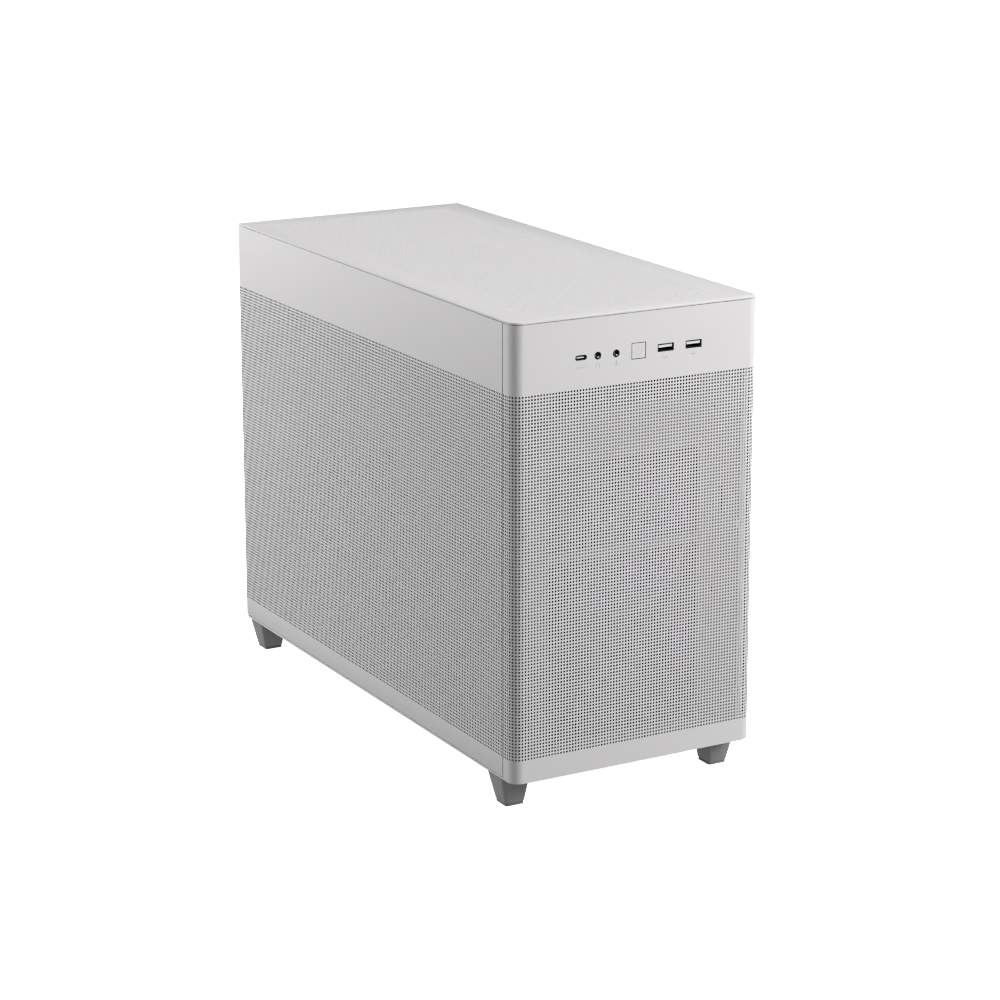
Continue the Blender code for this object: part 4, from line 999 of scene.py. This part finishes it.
def thumbscrews():
    """Knurled heads with a coin slot, on threaded shafts."""
    for node in ("thumbscrew_left", "thumbscrew_right"):
        low, high = box(node)
        x, _, z = middle(node)
        points = 128
        outline = []
        for n in range(points):
            radius = 5.5 if n % 4 in (1, 2) else 5.1
            turn = 2 * math.pi * n / points
            outline.append((x + radius * math.cos(turn), z + radius * math.sin(turn)))
        knurl = (outline, "Y", high.y - 3.6, high.y - 0.5)
        prisms(f"{node}_knurl", [knurl], WHITE_STEEL, node, stands_for=[node])
        cap = bmesh.new()
        add_turned(cap, [(4.9, -0.6), (4.9, -0.3), (4.5, 0)], "Y", (x, high.y, z), 32)
        slot = (centred(x, z, 7.5, 1.1), "Y", high.y - 1.3, high.y + 1)
        piece(f"{node}_cap", cut_with(cap, [slot]), WHITE_STEEL, node)
        shaft = bmesh.new()
        end = low.y - high.y
        profile = [(0.5, end)] + [(1.7 if n % 2 else 1.4, end + 0.5 * n) for n in range(16)]
        profile += [(1.7, -4), (4.0, -4), (4.6, -3.6)]
        add_turned(shaft, profile, "Y", (x, high.y, z), 20)
        piece(f"{node}_shaft", shaft, STEEL, node)


def bottom_filter():
    """A frame with a fine mesh in it, ribs across, and a pull at the rear."""
    name = "bottom_filter"
    low, high = box(name)
    plate_end = high.y - 3.5
    pitch = 4.0
    columns, rows = 34, 98
    length, reach = rows * pitch, columns * pitch / 2
    start_y = low.y + (plate_end - low.y - length) / 2
    end_y = start_y + length
    field = rectangle(-reach, start_y, reach, end_y)
    border = sheet([rounded(low.x, low.y, high.x, plate_end, 4), field], "Z", low.z, high.z, 0.2)
    piece(f"{name}_frame", border, DARK_PLASTIC, name, stands_for=[name])

    def place(u, v, depth):
        return stacked(u - reach, start_y + v, low.z + 1.3 - depth)

    item = piece(f"{name}_mesh", perforated(columns, rows, pitch, pitch, 1.6, 0.5, place), FILTER, name)
    item.data.materials.append(FILTER)
    gauze = between(-reach, reach, start_y, end_y, low.z + 1.35, low.z + 1.5)
    boxes(f"{name}_gauze", [gauze], FILTER, name)
    ribs = [start_y + n * length / 4 for n in range(1, 4)]
    ribs = [between(-reach, reach, y - 1.5, y + 1.5, low.z + 0.1, high.z - 0.1) for y in ribs]
    boxes(f"{name}_ribs", ribs, DARK_PLASTIC, name, edge=0.2)
    shape = (rounded(-15, plate_end - 2, 15, high.y, 1.4), "Z", low.z, high.z)
    prisms(f"{name}_pull", [shape], DARK_PLASTIC, name, edge=0.3)


def tray_ribs_and_standoffs():
    """Pressed ribs that stiffen the tray, and the brass posts that carry the motherboard."""
    face = box("motherboard_tray")[0].x
    ribs = [((face - 0.6, y, 70), (face + 0.02, y + 5, 320)) for y in (-95, -80, -65)]
    boxes("motherboard_tray_ribs", ribs, SHADED_INSIDE_PAINT, edge=0.5)
    stand = bmesh.new()
    for y, z in BOARD_HOLES:
        add_turned(stand, [(3, 0), (3, 6.3)], "X", (71.65, y, z), 6)
    piece("motherboard_standoffs", stand, COPPER)


BOARD_HOLES = [(y, z) for y in (-17, 54, 214) for z in (80.5, 159, 311.5)]


# ---- Rear sockets and card slots ------------------------------------------------------------------------


def add_frame(bm, x, z, width, height, wall, start, stop):
    """A rectangular tube along Y, as four bars."""
    low_x, high_x, low_z, high_z = x - width / 2, x + width / 2, z - height / 2, z + height / 2
    add_box(bm, (low_x, start, low_z), (high_x, stop, low_z + wall))
    add_box(bm, (low_x, start, high_z - wall), (high_x, stop, high_z))
    add_box(bm, (low_x, start, low_z + wall), (low_x + wall, stop, high_z - wall))
    add_box(bm, (high_x - wall, start, low_z + wall), (high_x, stop, high_z - wall))


def rear_sockets():
    """Shells, tongues and rings of the motherboard's sockets, with the shield's pressed edge."""
    face = box("port_block")[1].y
    shells, tongues, contacts, mouths, rings = (bmesh.new() for _ in range(5))
    for z in (255, 275):
        for x in (46, 58):
            add_frame(shells, x, z, 5.6, 13.3, 0.45, face - 0.2, face + 0.9)
            add_box(tongues, (x + 0.05, face - 9, z - 5.6), (x + 1.95, face - 0.4, z + 5.6))
            for n in (-3.5, -1, 1, 3.5):
                spot = z + n
                add_box(contacts, (x - 0.2, face - 8, spot - 0.5), (x + 0.04, face - 1.5, spot + 0.5))
    x, z = 58, 235
    add_frame(shells, x, z, 12.6, 15.4, 0.5, face - 0.2, face + 0.9)
    for n in range(8):
        spot = z + n - 3.5
        add_box(contacts, (x + 2.6, face - 9, spot - 0.25), (x + 3.0, face - 3, spot + 0.25))
    x = 51.5
    for z, width, height in ((300, 5.2, 16.4), (215, 8.8, 15.2), (196, 3.4, 9.2)):
        reach = height / 2
        add_frame(shells, x, z, width + 1.2, height + 1.2, 0.6, face - 0.2, face + 0.9)
        add_box(mouths, (x - width / 2, face - 0.1, z - reach), (x + width / 2, face + 0.15, z + reach))
        add_box(tongues, (x - 0.6, face + 0.1, z - reach + 1.2), (x + 0.4, face + 0.7, z + reach - 1.2))
    ring = [(1.85, -3), (3.6, -3), (3.6, 0.7), (3.2, 1.0), (2.0, 1.0), (1.85, 0.8)]
    for x in (43, 51.5, 60):
        add_ring(rings, ring, (x, face, 180), 24)
    piece("rear_socket_shells", shells, NICKEL)
    piece("rear_socket_tongues", tongues, SOCKET_BLUE, edge=0.15)
    piece("rear_socket_contacts", contacts, COPPER)
    piece("rear_socket_mouths", mouths, DARK_PLASTIC)
    piece("rear_audio_rings", rings, GLOSS_BLACK)
    low, high = box("io_shield")
    x, _, z = middle("io_shield")
    width, height = high.x - low.x, high.z - low.z
    rim = bmesh.new()
    add_frame(rim, x, z, width - 0.4, height - 0.4, 1.6, high.y - 0.05, high.y + 0.6)
    piece("io_shield_rim", rim, STEEL, edge=0.3)


def add_ring(bm, profile, centre, steps):
    """A ring round a Y axis: the profile, (radius, y), is a closed loop."""
    x, y, z = centre
    loops = []
    for radius, along in profile:
        spots = circle(0, 0, radius, steps)
        loops.append([bm.verts.new((x + u, y + along, z + v)) for u, v in spots])
    join_rings(bm, loops, closed_loop=True)


def slot_covers():
    """Vented covers over the two free slots, and the card's bracket with its display sockets."""
    upper, lower = CARD_SLOTS[0], CARD_SLOTS[1]
    for node, reach, look, slot in (
        ("slot_cover_1", 3.6, PAINT, "steel"),
        ("slot_cover_2", 3.6, PAINT, "steel"),
        ("graphics_bracket", 3.8, STEEL, None),
    ):
        low, high = box(node)
        z = lower if node == "graphics_bracket" else middle(node).z
        slots = [rounded(x - 1.3, z - reach, x + 1.3, z + reach, 1.2, 3) for x in range(-32, 60, 5)]
        plate = sheet([rectangle(low.x, low.z, high.x, high.z), *slots], "Y", low.y, high.y)
        piece(f"{node}_plate", plate, look, slot=slot, stands_for=[node])
        if look is PAINT:
            prisms(f"{node}_gauze", [(centred(13.5, z, 98, 9), "Y", low.y - 0.5, low.y - 0.05)], FILTER)
    shells, mouths, tongues = (bmesh.new() for _ in range(3))
    for x, width in ((-22, 16.4), (2, 16.4), (26, 16.4), (48, 14.6)):
        reach = width / 2 - 1.5
        add_frame(shells, x, upper, width + 1, 6.4, 0.5, high.y - 0.2, high.y + 2.6)
        add_prism(mouths, centred(x, upper, width, 5.4), "Y", high.y + 0.02, high.y + 0.4)
        add_box(tongues, (x - reach, high.y + 0.3, upper - 0.2), (x + reach, high.y + 2.2, upper + 0.8))
    piece("card_socket_shells", shells, NICKEL)
    piece("card_socket_mouths", mouths, DARK_PLASTIC)
    piece("card_socket_tongues", tongues, DARK_PLASTIC, edge=0.15)


# ---- Fans and power supply ------------------------------------------------------------------------------


def add_blade(bm, spot, turn, width, root, tip, low, high, thickness):
    """A blade that climbs and curves across its width, sweeps forward, and thins towards its tip."""
    across, along = 8, 8
    layers = []
    for side in (-1, 1):
        rows = []
        for i in range(along + 1):
            share = i / along
            radius = root + (tip - root) * share
            row = []
            for j in range(across + 1):
                step = j / across
                angle = turn + 0.3 * share + (step - 0.5) * width
                lift = side * thickness / 2 * (1 - 0.55 * share) * (1 - 0.6 * abs(2 * step - 1))
                climb = low + (high - low) * (step + 0.07 * math.sin(math.pi * step)) + lift
                row.append(bm.verts.new(spot(radius * math.cos(angle), radius * math.sin(angle), climb)))
            rows.append(row)
        layers.append(rows)
    for rows in layers:
        for i in range(along):
            for j in range(across):
                bm.faces.new((rows[i][j], rows[i][j + 1], rows[i + 1][j + 1], rows[i + 1][j]))
    edge = [(0, j) for j in range(across)] + [(i, across) for i in range(along)]
    edge += [(along, across - j) for j in range(across)] + [(along - i, 0) for i in range(along)]
    under, over = layers
    for (i, j), (k, m) in zip(edge, edge[1:] + edge[:1]):
        bm.faces.new((under[i][j], under[k][m], over[k][m], over[i][j]))


def fan_wheel(node, axis, hub, tip, look):
    """Nine curved blades on a hub with a rounded edge and a shallow round dish in its front."""
    low, high = box(node)
    centre = middle(node)
    if axis == "Y":
        centre.y = {"rear_fan_rotor": 209.9, "cpu_fan_rotor": 101, "psu_fan_rotor": -195}[node]
        half_low, half_high = low.y - centre.y, high.y - centre.y

        def spot(u, v, w):
            return (centre.x + u, centre.y + w, centre.z - v)

    else:
        half_low, half_high = low.z - centre.z, high.z - centre.z

        def spot(u, v, w):
            return (centre.x + u, centre.y + v, centre.z + w)

    wheel = bmesh.new()
    edge = 1.5
    profile = [(hub - 5, half_low + 0.5), (hub - 4.4, half_low), (hub - edge, half_low)]
    profile += [(hub - 0.45, half_low + 0.45), (hub, half_low + edge), (hub, half_high)]
    rings = []
    for radius, along in profile:
        rings.append([wheel.verts.new(spot(u, v, along)) for u, v in circle(0, 0, radius, 48)])
    join_rings(wheel, rings)
    start, stop = half_low + 1.6, half_high - 1.6
    if node == "rear_fan_rotor":
        start, stop = stop, start  # its blades lean the other way
    blades = 9
    step = 2 * math.pi / blades
    for n in range(blades):
        add_blade(wheel, spot, n * step, 0.8 * step, hub - 1, tip, start, stop, 1.9)
    piece(f"{node}_wheel", wheel, look, node, stands_for=[node], angle=40)


def fans():
    """The five fan wheels, and rubber pads on the corners of the two case fans' frames."""
    for node in ("rear_fan_rotor", "cpu_fan_rotor"):
        fan_wheel(node, "Y", 20, 55.5, FAN_WHITE)
    fan_wheel("psu_fan_rotor", "Y", 20, 55, DARK_PLASTIC)
    for node in ("graphics_fan_1", "graphics_fan_2"):
        fan_wheel(node, "Z", 16, 44.5, FAN_WHITE)
    pads = bmesh.new()
    for node in ("rear_fan_frame", "cpu_fan_frame"):
        face = box(node)[0].y
        for x, z in fan_corners(node):
            add_ring(pads, [(2.3, -0.35), (5.6, -0.35), (5.6, 0.02), (2.3, 0.02)], (x, face, z), 20)
    piece("fan_corner_pads", pads, RUBBER)


def power_supply():
    """Wire guard over the fan, its screws, and louvres in the housing's sides."""
    low, high = box("psu_housing")
    middle_z = middle("psu_housing").z
    guard = bmesh.new()
    wire, ahead = 0.8, 1.6
    turns = np.linspace(0, 2 * math.pi, 7)[:-1]
    for radius in (10, 19, 28, 37, 46, 56):
        ring = [(radius + wire * math.cos(turn), wire * math.sin(turn) - ahead) for turn in turns]
        add_ring(guard, ring, (0, low.y, middle_z), 56)
    for turn in (45, 135, 225, 315):
        u, v = math.cos(math.radians(turn)), math.sin(math.radians(turn))
        y = low.y - ahead + 1.3 * wire
        spoke = [Vector((reach * u, y, middle_z + reach * v)) for reach in (9, 74)]
        add_tube(guard, spoke, wire, 8)
    piece("psu_fan_guard", guard, NICKEL)
    spots = [(u * 52.5, middle_z + v * 52.5) for u in (-1, 1) for v in (-1, 1)]
    screws("psu_fan_screws", spots, "Y", low.y, -1, radius=3.2, look=BLACK_STEEL)
    louvres = []
    for side in (-1, 1):
        for z in np.arange(low.z + 14, low.z + 125, 9.5):
            x = side * (high.x + 0.02)
            louvres.append(between(x, x - side * 0.3, low.y + 25, high.y - 15, z, z + 2.2))
    boxes("psu_side_louvres", louvres, DARK_PLASTIC, slot="black_paint")


# ---- Motherboard, cooler, memory, card and drive --------------------------------------------------------


def processor_cooler():
    """Forty-four thin fins with turned ends on four nickel pipes, under a plain brushed cover."""
    low, high = box("cpu_heatsink")
    count = 44
    spacing = (13.5 - low.x) / count
    fins = bmesh.new()
    for n in range(count):
        x = low.x + 1.5 + n * spacing
        add_box(fins, (x, low.y, low.z), (x + 0.45, high.y, high.z))
        for z in (low.z, high.z - 0.4):
            add_box(fins, (x + 0.45, low.y + 8, z), (x + 2.3, high.y - 8, z + 0.4))
    piece("cpu_heatsink_fins", fins, BRUSHED, stands_for=["cpu_heatsink"])
    shape = ((low.x, low.y, low.z), (low.x + 1.2, high.y, high.z))
    boxes("cpu_heatsink_cover", [shape], BRUSHED, edge=0.3)
    _, y, z = middle("cpu_heatsink")
    base = box("cooler_base")[0].x
    pipes = bmesh.new()
    for offset in (-16.5, -5.5, 5.5, 16.5):
        route = [Vector((x, y + offset, z)) for x in (low.x + 1, base - 0.35)]
        add_tube(pipes, route, 3, 20)
    piece("cpu_heat_pipes", pipes, NICKEL, slot="aluminium")
    bars = [
        between(base - 3.02, base - 0.02, y - 22, y + 22, z + offset - 3, z + offset + 3)
        for offset in (-15, 15)
    ]
    boxes("cooler_mounting_bars", bars, STEEL, edge=0.4)


def memory():
    """Heat spreaders with pressed ribs, either side of the module's own board."""
    for node in ("memory_module_1", "memory_module_2"):
        low, high = box(node)
        y = middle(node).y
        outline = [(30, 173), (34, 168.5), (57, 168.5), (57, 299.5), (34, 299.5), (30, 295)]
        shape = (outline, "Y", low.y + 0.5, high.y - 0.5)
        slot = "white_plastic"
        prisms(f"{node}_spreader", [shape], WHITE_METAL, slot=slot, stands_for=[node], edge=0.6)
        ribs = [
            between(33, 52, side, side + 0.55, z, z + 4)
            for z in range(180, 297, 13)
            for side in (low.y, high.y - 0.55)
        ]
        boxes(f"{node}_ribs", ribs, WHITE_METAL, slot=slot, edge=0.2)
        boxes(f"{node}_board", [((56.5, y - 0.7, low.z), (high.x, y + 0.7, high.z))], CIRCUIT)


def motherboard_parts():
    """Heatsinks, chokes, capacitors, sockets' latches and small parts on the motherboard."""
    face = 70

    def stand(bm, y, z, along_y, along_z, height):
        u, v = along_y / 2, along_z / 2
        add_box(bm, (face - height, y - u, z - v), (face + 0.02, y + u, z + v))

    sinks = bmesh.new()
    for n in range(9):
        stand(sinks, 184, 188 + n * 10.5, 18, 7, 20)
    stand(sinks, 184, 230, 20, 96, 12)
    for n in range(6):
        stand(sinks, 100 + n * 12.5, 304, 8, 16, 18)
    stand(sinks, 131, 304, 74, 18, 11)
    stand(sinks, 40, 102, 42, 42, 7)
    stand(sinks, 132, 160.5, 84, 18, 4)
    piece("motherboard_heatsinks", sinks, WHITE_METAL, edge=0.7)
    chokes = bmesh.new()
    for n in range(7):
        stand(chokes, 168, 198 + n * 10, 7.5, 7.5, 6)
    for n in range(5):
        stand(chokes, 112 + n * 10, 288, 7.5, 7.5, 6)
    for y, z, size in ((20, 140, 9), (75, 90, 7), (0, 180, 6), (205, 140, 7), (62, 150, 5)):
        stand(chokes, y, z, size, size, 1.4)
    piece("motherboard_chokes", chokes, GREY_PLASTIC, edge=0.5)
    cans = bmesh.new()
    spots = [(157, 196 + 9.5 * n) for n in range(8)]
    spots += [(100 + 8.5 * n, 276) for n in range(3)]
    spots += [(-6 + 9 * n, 130) for n in range(3)]
    spots += [(205 - 9 * n, 82) for n in range(4)]
    for y, z in spots:
        add_turned(cans, [(3, 0), (3, -7.4), (2.6, -7.8)], "X", (face, y, z), 16)
    piece("motherboard_capacitors", cans, BRUSHED)
    sockets = bmesh.new()
    for n in range(4):
        stand(sockets, -16, 130 + n * 15, 14, 12, 7)
    for n in range(6):
        stand(sockets, 10 + n * 24, 78, 18, 5, 8)
    stand(sockets, 205, 315, 16, 5, 9)
    piece("motherboard_sockets", sockets, DARK_PLASTIC, edge=0.4)
    small = bmesh.new()
    for n in range(220):
        y = -20 + (n * 61.8) % 236
        z = 78 + (n * 37.3) % 232
        busy = 118 < y < 160 and 205 < z < 260 or 30 < y < 75 and z > 160 or -23 < y < -9
        if not busy:
            along_y, along_z = (2.2, 1.2) if n % 3 else (1.2, 2.2)
            stand(small, y, z, along_y, along_z, 0.7)
    piece("motherboard_small_parts", small, SMALL_PARTS)
    cell = bmesh.new()
    add_turned(cell, [(10, 0), (10, -3.0), (9.4, -3.4)], "X", (face, 85, 118), 32)
    piece("motherboard_coin_cell", cell, NICKEL)
    screws("motherboard_screws", BOARD_HOLES, "X", face, -1, radius=3)


def graphics_card():
    """Thin fins under the shroud, a slotted back plate, and trim round the fans."""
    low, high = box("graphics_heatsink")
    fins = bmesh.new()
    count = 70
    for n in range(count):
        y = low.y + n * (high.y - low.y - 0.5) / (count - 1)
        add_box(fins, (low.x, y, low.z), (high.x, y + 0.5, high.z))
    for x in (-24, -8, 8, 24):
        add_tube(fins, [Vector((x, y, high.z - 5)) for y in (low.y + 4, high.y - 4)], 3, 12)
    piece("graphics_heatsink_fins", fins, BRUSHED, stands_for=["graphics_heatsink"])
    low, high = box("graphics_board")
    top = high.z + 1.5
    slots = [rounded(-30, y - 1.2, 40, y + 1.2, 1.1, 3) for y in range(-24, 34, 6)]
    outline = rounded(low.x, low.y, high.x - 8, high.y, 3)
    piece("graphics_back_plate", sheet([outline, *slots], "Z", high.z + 0.3, top, 0.2), WHITE_METAL)
    spots = [(x, y) for x in (-36, 42) for y in (-30, 90, 210)]
    screws("graphics_back_plate_screws", spots, "Z", top, 1, radius=2.4, look=BLACK_STEEL)
    low, high = box("graphics_shroud")
    trim = bmesh.new()
    profile = [(46.2, -0.02), (48.4, -0.02), (48.4, -0.6), (47.0, -1.0), (46.2, -0.6)]
    for node in ("graphics_fan_1", "graphics_fan_2"):
        x, y, _ = middle(node)
        rings = []
        for radius, z in profile:
            rings.append([trim.verts.new((u, v, low.z + z)) for u, v in circle(x, y, radius, 64)])
        join_rings(trim, rings, closed_loop=True)
    for y in (72, 116):
        add_box(trim, (low.x + 10, y - 1, low.z - 0.8), (high.x - 10, y + 1, low.z + 0.02))
    piece("graphics_shroud_trim", trim, GREY_PLASTIC)


def drive():
    """A thin plate and four screws on top of the solid state drive."""
    low, high = box("solid_state_drive")
    shape = (rounded(low.x + 6, low.y + 10, high.x - 6, high.y - 10, 2), "Z", high.z - 0.02, high.z + 0.15)
    prisms("solid_state_drive_plate", [shape], GREY_PLASTIC)
    spots = [(x, y) for x in (low.x + 3.5, high.x - 3.5) for y in (low.y + 5, high.y - 5)]
    screws("solid_state_drive_screws", spots, "Z", high.z, 1, radius=1.8, look=BLACK_STEEL)


def cable_ends():
    """Rows of latching cells on the ends of the cables, at the board."""
    cells = []
    y = -16.5
    for start_z, count, reach, x in ((216.8, 12, 4.3, 56.6), (292.8, 4, 2.7, 58.8)):
        for n in range(count):
            z = start_z + n * 4.2
            cells.append(between(x - 8, x + 0.1, y - reach, y + reach, z - 1.95, z + 1.95))
    boxes("cable_plugs", cells, GREY_PLASTIC, edge=0.3)


# ---- Camera, light and floor ----------------------------------------------------------------------------


def add_light(name, place, aim, size, power):
    """A white rectangular lamp at place that faces aim. Places and sizes are in metres, power in watts."""
    lamp = bpy.data.lights.new(name, "AREA")
    lamp.shape = "RECTANGLE"
    lamp.size, lamp.size_y = size
    lamp.energy = power
    item = bpy.data.objects.new(name, lamp)
    item.location = place
    item.rotation_euler = (Vector(aim) - Vector(place)).to_track_quat("-Z", "Y").to_euler()
    bpy.context.collection.objects.link(item)
    return item


def studio():
    """Four lamps, a world that looks white to the camera only, and a pale floor."""
    scene = bpy.context.scene
    scene.view_settings.view_transform = "Standard"
    scene.cycles.denoising_prefilter = "NONE"  # so that the small holes stay crisp
    scene.cycles.filter_width = 1.2
    middle = (0, 0, 0.18)
    add_light("top_softbox", (0.15, -0.6, 1.8), middle, (1.4, 1.4), 11.5)
    left = add_light("left_rear_softbox", (-1.0, 0.9, 0.85), (0, 0.05, 0.2), (0.6, 0.8), 16.2)
    right = add_light("right_front_softbox", (1.15, -1.15, 1.0), (0, -0.2, 0.25), (0.7, 0.8), 27)
    front = add_light("front_left_fill", (-1.2, -1.4, 0.9), middle, (0.7, 0.8), 1.6)
    for lamp in (left, right, front):
        lamp.visible_glossy = False  # so that the lid shows no glare from behind
    world = bpy.data.worlds.new("studio")
    world.use_nodes = True
    tree = world.node_tree
    ambient = tree.nodes["Background"]
    ambient.inputs["Color"].default_value = (1, 1, 1, 1)
    where = tree.nodes.new("ShaderNodeTexCoord")
    direction = tree.nodes.new("ShaderNodeSeparateXYZ")
    from_below = tree.nodes.new("ShaderNodeMapRange")
    from_below.inputs["From Min"].default_value = -0.3
    from_below.inputs["From Max"].default_value = 0.3
    from_below.inputs["To Min"].default_value = 0.32
    from_below.inputs["To Max"].default_value = 0.11
    tree.links.new(where.outputs["Generated"], direction.inputs["Vector"])
    tree.links.new(direction.outputs["Z"], from_below.inputs["Value"])
    tree.links.new(from_below.outputs["Result"], ambient.inputs["Strength"])
    backdrop = tree.nodes.new("ShaderNodeBackground")
    backdrop.inputs["Strength"].default_value = 1.0
    backdrop.inputs["Color"].default_value = (1, 1, 1, 1)
    seen = tree.nodes.new("ShaderNodeLightPath")
    choose = tree.nodes.new("ShaderNodeMixShader")
    tree.links.new(seen.outputs["Is Camera Ray"], choose.inputs["Fac"])
    tree.links.new(ambient.outputs[0], choose.inputs[1])
    tree.links.new(backdrop.outputs[0], choose.inputs[2])
    tree.links.new(choose.outputs[0], tree.nodes["World Output"].inputs["Surface"])
    bpy.context.scene.world = world
    floor_mesh = bpy.data.meshes.new("floor")
    reach = 30
    corners = [(x, y, -0.0002) for x, y in rectangle(-reach, -reach, reach, reach)]
    floor_mesh.from_pydata(corners, [], [(0, 1, 2, 3)])
    floor = bpy.data.objects.new("floor", floor_mesh)
    look, tree, shader = nodes_of("pale_floor")
    shader.inputs["Base Color"].default_value = (0.8, 0.8, 0.8, 1)
    shader.inputs["Roughness"].default_value = 0.9
    shader.inputs["Emission Color"].default_value = (1, 1, 1, 1)
    shader.inputs["Emission Strength"].default_value = 1.0
    floor_mesh.materials.append(look)
    bpy.context.collection.objects.link(floor)
    floor.visible_diffuse = False
    floor.visible_glossy = False


def camera():
    """The photograph's own view: from the left of the front, a little above the lid."""
    lens = bpy.data.cameras.new("camera")
    lens.lens = 105.2
    lens.sensor_width = 36
    lens.shift_y = -0.08
    lens.clip_end = 100
    item = bpy.data.objects.new("camera", lens)
    item.location = (-1.07, -1.9484, 0.7805)
    item.rotation_euler = (math.radians(76.18), math.radians(0.07), math.radians(-29.14))
    bpy.context.collection.objects.link(item)
    bpy.context.scene.camera = item


# ---- Everything -----------------------------------------------------------------------------------------


# these nodes are painted black instead of their own paint: painted shade inside the case
SHADE_PAINTED_NODES = ("chassis_base", "psu_bracket", "solid_state_drive")


def paint_nodes():
    """Gives each CAD node that stays visible its finished material."""
    looks = {
        # white painted nodes inside take the dark grey paint, which is painted shade inside the case
        "white_paint": SHADED_INSIDE_PAINT,
        "black_paint": BLACK_PAINT,
        "dark_plastic": DARK_PLASTIC,
        "white_plastic": WHITE_PLASTIC,
        "rubber": RUBBER,
        "steel": STEEL,
        "aluminium": BRUSHED,
        "circuit_board": CIRCUIT,
        "cable_sleeve": SLEEVE,
    }
    slots = {row["node"]: row["material_slot"] for row in frame["record"]["subparts"]}
    for name, node in NODES.items():
        for slot in node.material_slots:
            slot.material = BLACK_PAINT if name in SHADE_PAINTED_NODES else looks[slots[name]]


paint_nodes()
front_panel()
side_panel("left_panel", -1)
side_panel("right_panel", 1)
top_panel()
for socket in ("usb_a_port_left", "usb_a_port_right"):
    usb_a(socket)
usb_c("usb_c_port")
for socket in ("headphone_jack", "microphone_jack"):
    audio_jack(socket)
power_button()
printed_signs()
feet()
base_lips()
front_frame()
rear_panel()
thumbscrews()
bottom_filter()
tray_ribs_and_standoffs()
rear_sockets()
slot_covers()
fans()
power_supply()
processor_cooler()
memory()
motherboard_parts()
graphics_card()
drive()
cable_ends()
studio()
camera()
